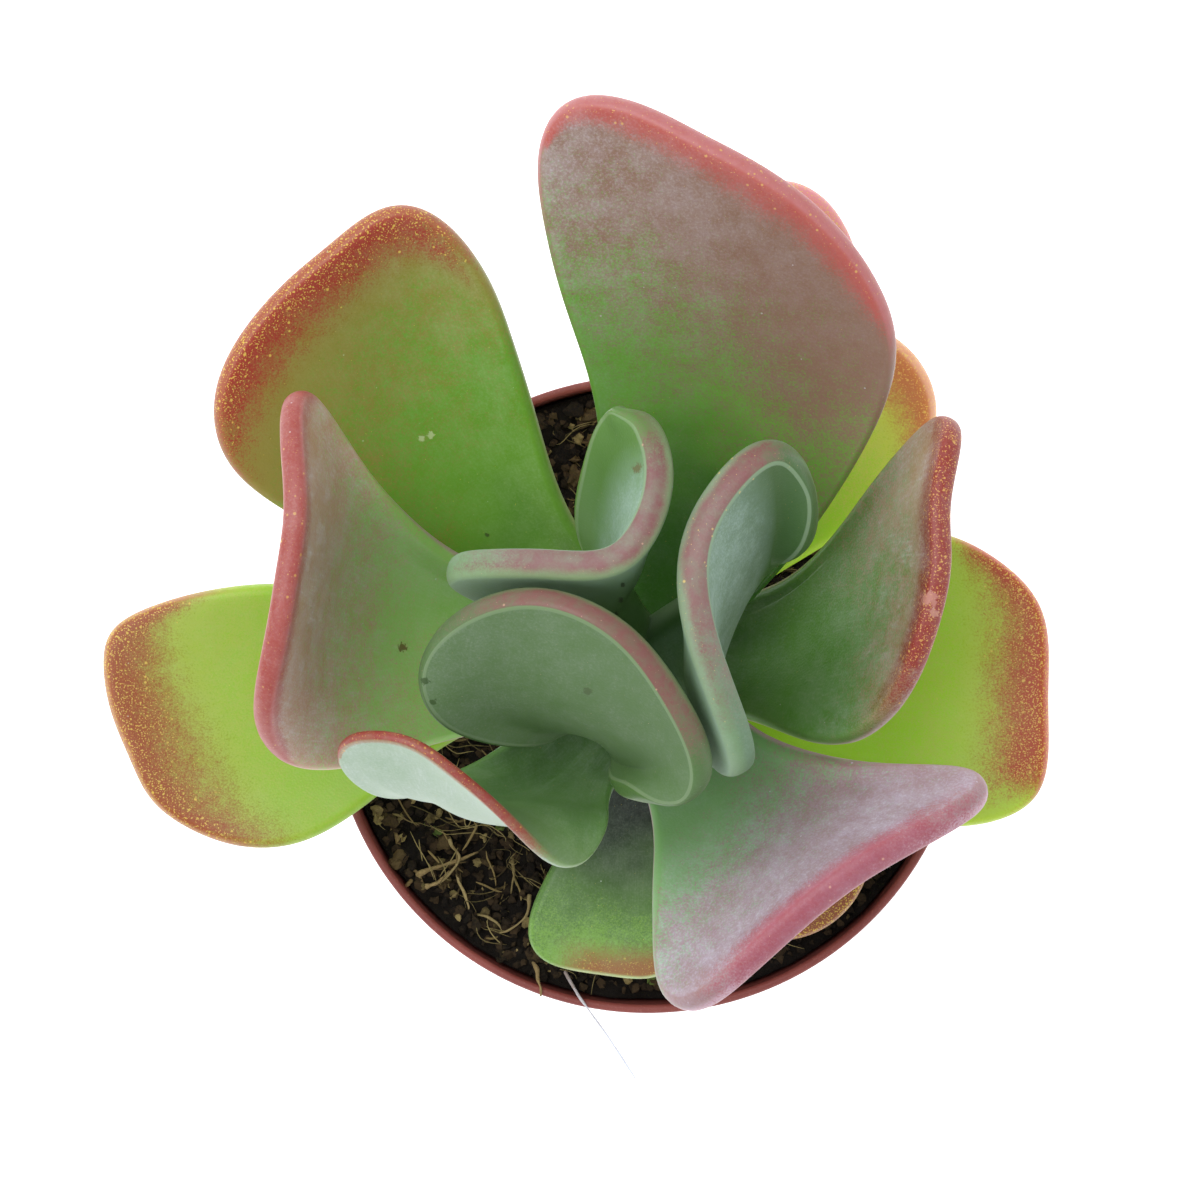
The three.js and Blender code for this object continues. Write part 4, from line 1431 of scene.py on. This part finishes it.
@dataclass
class Pot:
    """The moulded nursery pot, with its collar, rolled lip, raised drain ring and drain holes."""

    height: float = 92
    rim_radius: float = 60
    lip: float = 1.65
    wall: float = 1.4
    collar_height: float = 15
    collar_step: float = 2.6
    foot_radius: float = 43
    floor: float = 1.6
    drain_lift: float = 2
    drain_ring: tuple[float, float] = (14, 33)
    drain_holes: int = 8
    drain_radius: float = 3.4
    sides: int = 192
    drill_sides: int = 32
    sharp_angle: float = 40
    plastic: Plastic = Plastic()

    @property
    def neck(self) -> float:
        """The height of the collar's lower edge."""
        return self.height - self.collar_height

    def inner_radius(self, height: float) -> float:
        """Finds the radius of the inner wall.

        Args:
            height: the height above the pot's foot.

        Returns:
            The radius at that height.
        """
        if height >= self.neck:
            return self.rim_radius - self.lip - 0.4
        top = self.rim_radius - self.collar_step - self.wall - 1.2
        foot = self.foot_radius - self.wall
        return foot + (top - foot) * height / self.neck

    def profile(self) -> Array:
        """Draws the pot's section, from under its middle round the lip to the middle of its floor.

        Returns:
            The radius and the height of each point.
        """
        drain_in, drain_out = self.drain_ring
        lift, floor, foot = self.drain_lift, self.floor, self.foot_radius
        rim, neck = self.rim_radius, self.neck
        lip_radius = self.lip / 2
        out, up = rim - lip_radius, self.height - lip_radius
        wall_top = self.inner_radius(neck - 0.01) + self.wall
        lip = [
            (out + lip_radius * math.cos(angle), up + lip_radius * math.sin(angle))
            for angle in np.radians(np.linspace(-20, 200, 16))
        ]
        outside = [
            (0, 0), (drain_in - 2, 0), (drain_in - 1.4, 0.3), (drain_in - 0.4, lift - 0.3),
            (drain_in + 0.2, lift), (drain_out - 0.2, lift), (drain_out + 0.4, lift - 0.3),
            (drain_out + 1.4, 0.3), (drain_out + 2, 0), (foot - 1, 0), (foot - 0.3, 0.3), (foot + 0.1, 1.2),
            (wall_top - 0.1, neck - 2), (wall_top + 0.2, neck - 1.2), (rim - 1.5, neck - 0.2),
            (rim - 1.0, neck + 0.2), (rim - 0.9, neck + 0.8), (rim - 0.45, self.height - 3.0),
        ]
        inside = [
            (rim - self.lip - 0.1, self.height - 3), (rim - self.lip - 0.4, neck),
            (self.inner_radius(neck - 1.5), neck - 2.5), (self.inner_radius(floor + lift), floor + lift),
            (drain_in, floor + lift), (drain_in - 2, floor), (0, floor),
        ]
        return np.array(outside + lip + inside)

    def build(self) -> Piece:
        """Builds and dresses the pot.

        Returns:
            The pot's piece, which replaces its solid.
        """
        piece = mesh_piece("pot_shell", *turned(self.profile(), self.sides))
        drills = self.drills()
        cut = piece.modifiers.new("drain", "BOOLEAN")
        cut.operation, cut.solver, cut.object = "DIFFERENCE", "EXACT", drills
        piece.modifiers.new("weld", "WELD").merge_threshold = 0.01 * MM
        cleared(piece)
        bpy.data.objects.remove(drills)
        piece.data.set_sharp_from_angle(angle=math.radians(self.sharp_angle))
        piece.data.materials.clear()
        plastic = self.plastic.material(self.height, self.neck, self.rim_radius - self.lip)
        return finished(piece, "pot", "pot", plastic)

    def drills(self) -> Piece:
        """Makes the rods that cut the drain holes.

        Returns:
            The rods as one mesh.
        """
        points, faces = [], []
        ring = sum(self.drain_ring) / 2
        reach = 2 * (self.floor + self.drain_lift)
        rod = np.array([(0, -reach), (self.drain_radius, -reach), (self.drain_radius, reach), (0, reach)])
        for k in range(self.drain_holes):
            angle = 2 * math.pi * k / self.drain_holes
            more, sides = turned(rod, self.drill_sides)
            faces += [tuple(n + len(points) for n in face) for face in sides]
            points += (more + [ring * math.cos(angle), ring * math.sin(angle), 0]).tolist()
        return mesh_piece("drills", np.array(points), faces, smooth=False)


# ---------------------------------------------------------------- soil


@dataclass(frozen=True)
class Matter:
    """A natural matter whose pieces differ in tone, from dark to light."""

    name: str
    dark: Rgb
    light: Rgb
    relief: float = 0.3
    rough: float = 0.95
    shine: float = 0.25

    def material(self) -> Material:
        """Builds the matter's material.

        Returns:
            The material.
        """
        surface = Surface(self.name)
        fine = surface.noise(0.6, 4.0, surface.place(), 0.7)
        share = surface.attribute("tone") * 0.75 + (fine - 0.35) * 0.8
        surface.dress({
            "Base Color": surface.blend(share.ramp(0.0, 1.0), self.dark, self.light),
            "Roughness": fine.ramp(0.2, 0.8, self.rough - 0.1, self.rough),
            "Specular IOR Level": self.shine,
        })
        surface.bump(fine, self.relief)
        return surface.material


def strewn(graph: Graph, thing: Wire, turn: Wire, scale: Wire, carried: dict[str, Wire]) -> Wire:
    """Strews copies of a thing over a tree's ground.

    Args:
        graph: the tree's graph, with the inputs Ground, Density and Seed.
        thing: the mesh or curve.
        turn: how each copy is turned.
        scale: its size.
        carried: the numbers that each copy carries, by name.

    Returns:
        The copies, made real.
    """
    ground = {"Mesh": graph.take("Ground"), "Density": graph.take("Density"), "Seed": graph.take("Seed")}
    points = graph.out("GeometryNodeDistributePointsOnFaces", ground)
    values = {"Points": points, "Instance": thing, "Rotation": turn, "Scale": scale}
    copies = graph.out("GeometryNodeInstanceOnPoints", values)
    for name, value in carried.items():
        values = {"Geometry": copies, "Name": name, "Value": value}
        copies = graph.out("GeometryNodeStoreNamedAttribute", values, data_type="FLOAT", domain="INSTANCE")
    return graph.out("GeometryNodeRealizeInstances", {"Geometry": copies})


def moved(graph: Graph, geometry: Wire, offset: Wire) -> Wire:
    """A geometry whose points are moved by an offset."""
    return graph.out("GeometryNodeSetPosition", {"Geometry": geometry, "Offset": offset})


def jitter(graph: Graph, size: float, amount: Wire) -> Wire:
    """An offset that wanders smoothly from place to place.

    Args:
        graph: the tree's graph.
        size: the width of its waves, in millimetres.
        amount: its greatest length, in metres.

    Returns:
        The offset.
    """
    values = {"Vector": graph.out("GeometryNodeInputPosition"), "Scale": 1 / (size * MM), "Detail": 1.0}
    cloud = graph.out("ShaderNodeTexNoise", values, "Color")
    centred = graph.out("ShaderNodeVectorMath", {0: cloud, 1: (0.5, 0.5, 0.5)}, operation="SUBTRACT")
    return graph.out("ShaderNodeVectorMath", {0: centred, "Scale": amount * 2.0}, operation="SCALE")


def dressed(graph: Graph, geometry: Wire) -> Wire:
    """A geometry with the tree's own finish."""
    return graph.out("GeometryNodeSetMaterial", {"Geometry": geometry, "Material": graph.take("Finish")})


def grain_tree() -> Tree:
    """The Geometry Nodes tree that strews uneven grains over a ground.

    Returns:
        The tree.
    """
    inputs = {
        "Ground": MESH, "Density": 1000.0, "Smallest": 0.001, "Largest": 0.002, "Flatness": 0.7,
        "Raggedness": 0.4, "Facets": 1, "Seed": 1, "Finish": FINISH,
    }
    graph = Graph.group("strewn_grains", Kind.GEOMETRY, inputs, {"Grains": MESH})
    take = graph.take
    ball = graph.out("GeometryNodeMeshIcoSphere", {"Radius": 0.5, "Subdivisions": take("Facets")})
    shape = graph.out("ShaderNodeCombineXYZ", {0: 1.0, 1: graph.random(0.6, 1.0, 11), 2: take("Flatness")})
    size = graph.random(take("Smallest"), take("Largest"), 12)
    scale = graph.out("ShaderNodeVectorMath", {0: shape, "Scale": size}, operation="SCALE")
    turn = graph.random((-0.5, -0.5, 0.0), (0.5, 0.5, FULL_TURN), 13, "FLOAT_VECTOR")
    grains = strewn(graph, ball, turn, scale, {"tone": graph.random(0.0, 1.0, 14)})
    ragged = moved(graph, grains, jitter(graph, 1.1, take("Largest") * take("Raggedness")))
    graph.give("Grains", dressed(graph, ragged))
    return graph.tree


def straw_tree() -> Tree:
    """The Geometry Nodes tree that strews bent straws or root fibres over a ground.

    Returns:
        The tree.
    """
    inputs = {
        "Ground": MESH, "Density": 1000.0, "Shortest": 0.006, "Longest": 0.02, "Thickness": 0.0006,
        "Bend": 0.004, "Tilt": 0.15, "Lift": 0.0005, "Seed": 1, "Finish": FINISH,
    }
    graph = Graph.group("strewn_straws", Kind.GEOMETRY, inputs, {"Straws": MESH})
    take = graph.take
    line = graph.out("GeometryNodeCurvePrimitiveLine", {"Start": (-0.5, 0.0, 0.0), "End": (0.5, 0.0, 0.0)})
    straw = graph.out("GeometryNodeResampleCurve", {"Curve": line, "Count": 9})
    level = take("Tilt") * graph.random(-1.0, 1.0, 21)
    turn = graph.out("ShaderNodeCombineXYZ", {1: level, 2: graph.random(0.0, FULL_TURN, 22)})
    size = graph.random(take("Shortest"), take("Longest"), 23)
    carried = {"tone": graph.random(0.0, 1.0, 24), "girth": graph.random(0.45, 1.0, 25)}
    straws = strewn(graph, straw, turn, size, carried)
    bent = moved(graph, straws, jitter(graph, 11.0, take("Bend")))
    lifted = moved(graph, bent, graph.out("ShaderNodeCombineXYZ", {2: take("Lift")}))
    along = graph.out("GeometryNodeSplineParameter", output="Factor")
    girth = graph.out("GeometryNodeInputNamedAttribute", {"Name": "girth"}, data_type="FLOAT")
    thinned = abs(along - 0.5).ramp(0.52, 0.3, 0.35, 1.0) * girth
    round_wire = {"Resolution": 5, "Radius": take("Thickness") * 0.5}
    section = graph.out("GeometryNodeCurvePrimitiveCircle", round_wire)
    values = {"Curve": lifted, "Profile Curve": section, "Scale": thinned, "Fill Caps": True}
    swept = graph.out("GeometryNodeCurveToMesh", values)
    graph.give("Straws", dressed(graph, graph.out("GeometryNodeRealizeInstances", {"Geometry": swept})))
    return graph.tree


class Form(Enum):
    """What a kind of litter is made up of."""

    GRAINS = "grains"
    STRAWS = "straws"


@dataclass(frozen=True)
class Litter:
    """One kind of litter on the soil: its form, its matter, whose name it has, and its tree's own values."""

    form: Form
    matter: Matter
    values: dict[str, float | int]


@dataclass
class Soil:
    """The peat that fills the pot, and all that lies in it."""

    pot: Pot
    level: float = 85
    sink: float = 1.2
    waves: float = 0.8
    bank: float = 4.4
    bank_from: float = 0.76
    bank_width: float = 0.2
    crumble: float = 0.9
    crumb: float = 2.6
    crumb_fractal: tuple[float, float, int] = (0.9, 2.1, 4)
    stem_clearance: float = 8
    rings: int = 96
    spokes: int = 260
    ground_rings: int = 20
    ground_spokes: int = 72
    gap: float = 0.3
    grain_margin: float = 1.2
    straw_margin: float = 4.2
    peat: Matter = Matter("peat", (10, 8, 6), (38, 29, 20), 0.8, 0.98)
    litter: tuple[Litter, ...] = (
        Litter(Form.GRAINS, Matter("peat_crumbs", (12, 9, 7), (66, 52, 34)), {
            "Density": 420000.0, "Smallest": 0.0008, "Largest": 0.0024, "Flatness": 0.7, "Raggedness": 0.35,
            "Facets": 1, "Seed": 3}),
        Litter(Form.GRAINS, Matter("peat_clods", (18, 14, 10), (92, 76, 48)), {
            "Density": 30000.0, "Smallest": 0.0018, "Largest": 0.004, "Flatness": 0.7, "Raggedness": 0.4,
            "Facets": 2, "Seed": 8}),
        Litter(Form.GRAINS, Matter("pale_grains", (70, 60, 36), (160, 142, 94)), {
            "Density": 40000.0, "Smallest": 0.0007, "Largest": 0.0023, "Flatness": 0.75, "Raggedness": 0.5,
            "Facets": 2, "Seed": 5}),
        Litter(Form.GRAINS, Matter("moss_bits", (60, 78, 32), (118, 136, 68)), {
            "Density": 4000.0, "Smallest": 0.001, "Largest": 0.0032, "Flatness": 0.8, "Raggedness": 0.6,
            "Facets": 2, "Seed": 22}),
        Litter(Form.STRAWS, Matter("peat_straw", (54, 44, 26), (150, 130, 84)), {
            "Density": 26000.0, "Shortest": 0.002, "Longest": 0.008, "Thickness": 0.00055, "Bend": 0.006,
            "Tilt": 0.35, "Lift": 0.0008, "Seed": 9}),
        Litter(Form.STRAWS, Matter("root_hairs", (70, 62, 36), (166, 150, 100)), {
            "Density": 90000.0, "Shortest": 0.003, "Longest": 0.01, "Thickness": 0.00024, "Bend": 0.009,
            "Tilt": 0.4, "Lift": 0.001, "Seed": 14}),
    )

    def surface(self, x: Array, y: Array) -> Array:
        """Finds the soil's surface, which is as in its solid, but banked up against the wall.

        Args:
            x: places along X.
            y: places along Y.

        Returns:
            The height at each.
        """
        outer = np.hypot(x, y) / self.pot.rim_radius
        waves = np.sin(0.31 * x + 1) * np.cos(0.27 * y) + 0.6 * np.sin(0.7 * y - 0.5 * x)
        bank = self.bank * smooth_step((outer - self.bank_from) / self.bank_width)
        return self.level - self.sink * outer**2 + self.waves * waves + bank

    def build(self) -> list[Piece]:
        """Builds and dresses the soil and its litter.

        Returns:
            The soil's pieces, the first of which replaces its solid.
        """
        pieces = [self.build_bed()]
        trees = {Form.GRAINS: grain_tree(), Form.STRAWS: straw_tree()}
        margins = {Form.GRAINS: self.grain_margin, Form.STRAWS: self.straw_margin}
        grounds = {form: self.build_ground(margin) for form, margin in margins.items()}
        for litter in self.litter:
            pieces.append(self.strew(litter, grounds[litter.form], trees[litter.form]))
        for ground in grounds.values():
            bpy.data.objects.remove(ground)
        return pieces

    def build_bed(self) -> Piece:
        """Builds the body of the soil, with its crumbly top.

        Returns:
            The bed, which replaces the soil's solid.
        """
        pot, gap = self.pot, self.gap
        reach = pot.inner_radius(pot.neck) - gap
        base = pot.floor + pot.drain_lift + gap
        radii = np.linspace(0.4, reach, self.rings)[::-1]
        profile = [
            (0, base), (pot.inner_radius(base) - gap, base),
            (pot.inner_radius(pot.neck - 3) - gap, pot.neck - 3), (reach, pot.neck + 0.5),
            *((radius, self.level) for radius in radii), (0, self.level),
        ]
        points, faces = turned(np.array(profile), self.spokes)
        top = points[:, 2] > self.level - 1
        points[top, 2] = self.surface(points[top, 0], points[top, 1])
        for index in np.flatnonzero(top):
            place = Vector(points[index]) / self.crumb
            points[index, 2] += self.crumble * noise.fractal(place, *self.crumb_fractal)
        piece = mesh_piece("soil_bed", points, faces)
        carry(piece, "tone", np.full(len(points), 0.3))
        return finished(piece, "soil", "soil", self.peat.material())

    def build_ground(self, margin: float) -> Piece:
        """Builds the sheet that litter is strewn over, which isn't kept.

        Args:
            margin: how far inside the pot's wall it ends.

        Returns:
            The sheet, from round the stem to that margin.
        """
        inner, outer = self.stem_clearance, self.pot.inner_radius(self.pot.neck) - margin
        rings, spokes = self.ground_rings, self.ground_spokes
        points, faces = [], []
        for i in range(rings):
            radius = inner + (outer - inner) * i / (rings - 1)
            for j in range(spokes):
                angle = 2 * math.pi * j / spokes
                x, y = radius * math.cos(angle), radius * math.sin(angle)
                points.append((x, y, float(self.surface(x, y)) + 0.2))
                if i:
                    k, last, here = (j + 1) % spokes, (i - 1) * spokes, i * spokes
                    faces.append((last + j, here + j, here + k, last + k))
        return mesh_piece("ground", np.array(points), faces)

    def strew(self, litter: Litter, ground: Piece, tree: Tree) -> Piece:
        """Grows one kind of litter over the ground.

        Args:
            litter: its matter and the tree's values.
            ground: the sheet that it lies on.
            tree: the Geometry Nodes tree.

        Returns:
            The litter as one plain mesh.
        """
        piece = bpy.data.objects.new(litter.matter.name, ground.data.copy())
        bpy.context.scene.collection.objects.link(piece)
        grown = piece.modifiers.new("strew", "NODES")
        grown.node_group = tree
        values = {**litter.values, "Finish": litter.matter.material()}
        for socket in tree.interface.items_tree:
            if socket.item_type == "SOCKET" and socket.in_out == "INPUT" and socket.name in values:
                grown[socket.identifier] = values[socket.name]
        cleared(piece)
        return finished(piece, "soil")


@dataclass
class RootFibres:
    """The few stout roots and long hairs on the soil and over the pot's lip, each a route of points."""

    fork: tuple = (
        ((-49.5, -23.6, 86), (-47.2, -28.5, 87), (-45.8, -32.2, 87), (-43.5, -34.2, 88), (-42.2, -36.7, 88)),
        ((-43.5, -34.2, 88), (-40.1, -32.9, 88), (-36.3, -31.6, 87.5), (-32.2, -30.2, 86)),
        ((-42.2, -36.7, 88), (-39.4, -35.6, 87.5), (-37.3, -33.4, 86.5)),
        ((-46.3, -37.2, 88.5), (-44.8, -35.5, 88.5), (-43.5, -34.2, 88)),
    )
    threads: tuple = (
        ((-25.7, -31.2, 86), (-25.2, -34.4, 87.5), (-25.9, -38.0, 86)),
        ((-22.1, -38.0, 86), (-23.1, -42.2, 87.5), (-26.5, -44.8, 87.5), (-29.5, -45.2, 86)),
        ((-37.7, -27.3, 86), (-35.6, -31.0, 87.5), (-37.7, -34.4, 88), (-40.7, -37.1, 86.5)),
        ((-50.6, -24.2, 86), (-47.7, -22.8, 87.5), (-43.3, -25.0, 86)),
        ((-32.9, -41.4, 86), (-28.8, -43.1, 87.5), (-26.9, -46.5, 86)),
        ((-36.3, -34.4, 87), (-33.9, -39.7, 87.5), (-34.6, -43.1, 86)),
    )
    overhang: tuple = ((-22.1, -49.9, 87), (-20.6, -52.7, 91), (-20.0, -56.6, 92.8))
    hair: tuple = (
        (-15.9, -52.0, 87), (-13.0, -56.5, 92), (-10.8, -59.5, 93), (-6.7, -65.0, 95), (-2.3, -72.1, 92),
    )
    root_radius: float = 0.5
    root_end: float = 0.4
    thread_radius: float = 0.34
    thread_end: float = 0.3
    hair_foot: float = 0.3
    hair_radius: float = 0.14
    hair_fade: float = 0.9
    wander: float = 0.35
    wander_size: float = 1.6
    steps: int = 28
    sides: int = 8
    root_bark: Matter = Matter("root_bark", (110, 90, 56), (186, 162, 114), 0.4, 0.9)
    thread_bark: Matter = Matter("thread_bark", (104, 90, 56), (180, 160, 112), 0.3, 0.9)
    fibre: Matter = Matter("hair_fibre", (150, 118, 92), (226, 232, 246), 0.1, 0.7)

    def build(self) -> list[Piece]:
        """Builds the roots and the hair.

        Returns:
            Their pieces.
        """
        thinned = self.hair_radius / self.hair_foot
        roots = self.swept("stout_roots", (*self.fork, self.overhang), self.root_radius, self.root_end)
        threads = self.swept("thin_roots", self.threads, self.thread_radius, self.thread_end)
        hairs = self.swept("long_hairs", (self.hair,), self.hair_foot, thinned, self.hair_fade)
        dressings = ((roots, self.root_bark), (threads, self.thread_bark), (hairs, self.fibre))
        return [finished(piece, "soil", finish=matter.material()) for piece, matter in dressings]

    def swept(self, name: str, routes: tuple, radius: float, end: float, fade: float = 0.0) -> Piece:
        """Sweeps round fibres along their routes.

        Args:
            name: the piece's name.
            routes: the routes' points.
            radius: a fibre's radius where it starts.
            end: its radius at its end, as a share of that.
            fade: how much paler it is at its end, from 0 to 1.

        Returns:
            The fibres as one mesh.
        """
        points, faces, tones = [], [], []
        share = np.linspace(0, 1, self.steps)
        for number, route in enumerate(routes):
            path = spline(np.array(route, float), share * (len(route) - 1))
            knots = 1 + 0.2 * np.sin(9 * share + number) + 0.14 * np.sin(23 * share)
            wander = self.wander * (1 - fade) * swell(path, self.wander_size, number)
            path = path + wander[:, None]
            more, sides = tube(path, radius * knots * (1 + (end - 1) * share), self.sides)
            faces += [tuple(n + len(points) for n in face) for face in sides]
            points += more.tolist()
            tones += np.repeat(0.25 + 0.2 * (number % 3) + fade * share, self.sides).tolist()
        piece = mesh_piece(name, np.array(points), faces)
        carry(piece, "tone", np.array(tones))
        return piece


# ---------------------------------------------------------------- studio


@dataclass(frozen=True)
class Paper:
    """The floor's plain pale paper, lit a little from below as on a light table."""

    dark: Rgb = (246, 246, 248)
    light: Rgb = (250, 250, 251)
    cloud: float = 300.0
    rough: float = 0.9
    glow: float = 0.8

    def material(self) -> Material:
        """Builds the paper's material.

        Returns:
            The material.
        """
        surface = Surface("floor_paper")
        paper = surface.blend(surface.noise(self.cloud, 2.0, surface.place()), self.dark, self.light)
        light = {"Emission Color": paper, "Emission Strength": self.glow}
        surface.dress({"Base Color": paper, "Roughness": self.rough, **light})
        return surface.material


@dataclass
class Studio:
    """A plain pale floor, soft light from all round, and the camera straight above."""

    camera_place: Point = (-8.9, 18.9, 792)
    focal_length: float = 111.7
    sensor_width: float = 36
    sight: tuple[float, float] = (10, 50000)
    floor_size: float = 6000
    paper: Paper = Paper()
    sky_tint: tuple[float, ...] = (0.97, 0.985, 1.0, 1.0)
    sky_light: float = 0.8
    lamp_place: Point = (-450, 350, 1300)
    lamp_aim: Point = (0, 10, 100)
    lamp_size: tuple[float, float] = (1200, 900)
    lamp_power: float = 13

    def build(self) -> None:
        """Builds the camera, the floor and the lights."""
        scene = bpy.context.scene
        scene.view_settings.view_transform = "Standard"
        data = bpy.data.cameras.new("camera")
        data.lens, data.sensor_width, data.sensor_fit = self.focal_length, self.sensor_width, "HORIZONTAL"
        data.clip_start, data.clip_end = (distance * MM for distance in self.sight)
        camera = bpy.data.objects.new("camera", data)
        camera.location = Vector(self.camera_place) * MM
        scene.collection.objects.link(camera)
        scene.camera = camera
        self.build_floor()
        self.build_lights()

    def build_floor(self) -> None:
        """Builds the floor."""
        half = self.floor_size / 2
        corners = np.array([(-half, -half, 0), (half, -half, 0), (half, half, 0), (-half, half, 0)])
        floor = mesh_piece("floor", corners, [(0, 1, 2, 3)])
        floor.data.materials.append(self.paper.material())

    def build_lights(self) -> None:
        """Builds a bright even sky and a large soft lamp, high on the left."""
        world = bpy.data.worlds.new("sky")
        world.use_nodes = True
        background = world.node_tree.nodes["Background"]
        background.inputs["Color"].default_value = self.sky_tint
        background.inputs["Strength"].default_value = self.sky_light
        bpy.context.scene.world = world
        lamp = bpy.data.lights.new("softbox", "AREA")
        lamp.shape, lamp.energy = "RECTANGLE", self.lamp_power
        lamp.size, lamp.size_y = (side * MM for side in self.lamp_size)
        softbox = bpy.data.objects.new("softbox", lamp)
        softbox.location = Vector(self.lamp_place) * MM
        aim = Vector(self.lamp_aim) * MM - softbox.location
        softbox.rotation_euler = aim.to_track_quat("-Z", "Y").to_euler()
        bpy.context.scene.collection.objects.link(softbox)


def main() -> None:
    """Builds the plant, its pot and the studio."""
    logging.basicConfig(level=logging.INFO, format="%(name)s %(message)s")
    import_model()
    Studio().build()
    pot = Pot()
    pieces = [pot.build(), *Soil(pot).build(), *RootFibres().build(), Stem().build()]
    groups = Groups()
    pieces += [leaf.build(groups) for leaf in LEAVES]
    LOG.info("%d pieces", len(pieces))


if __name__ == "__main__":
    main()
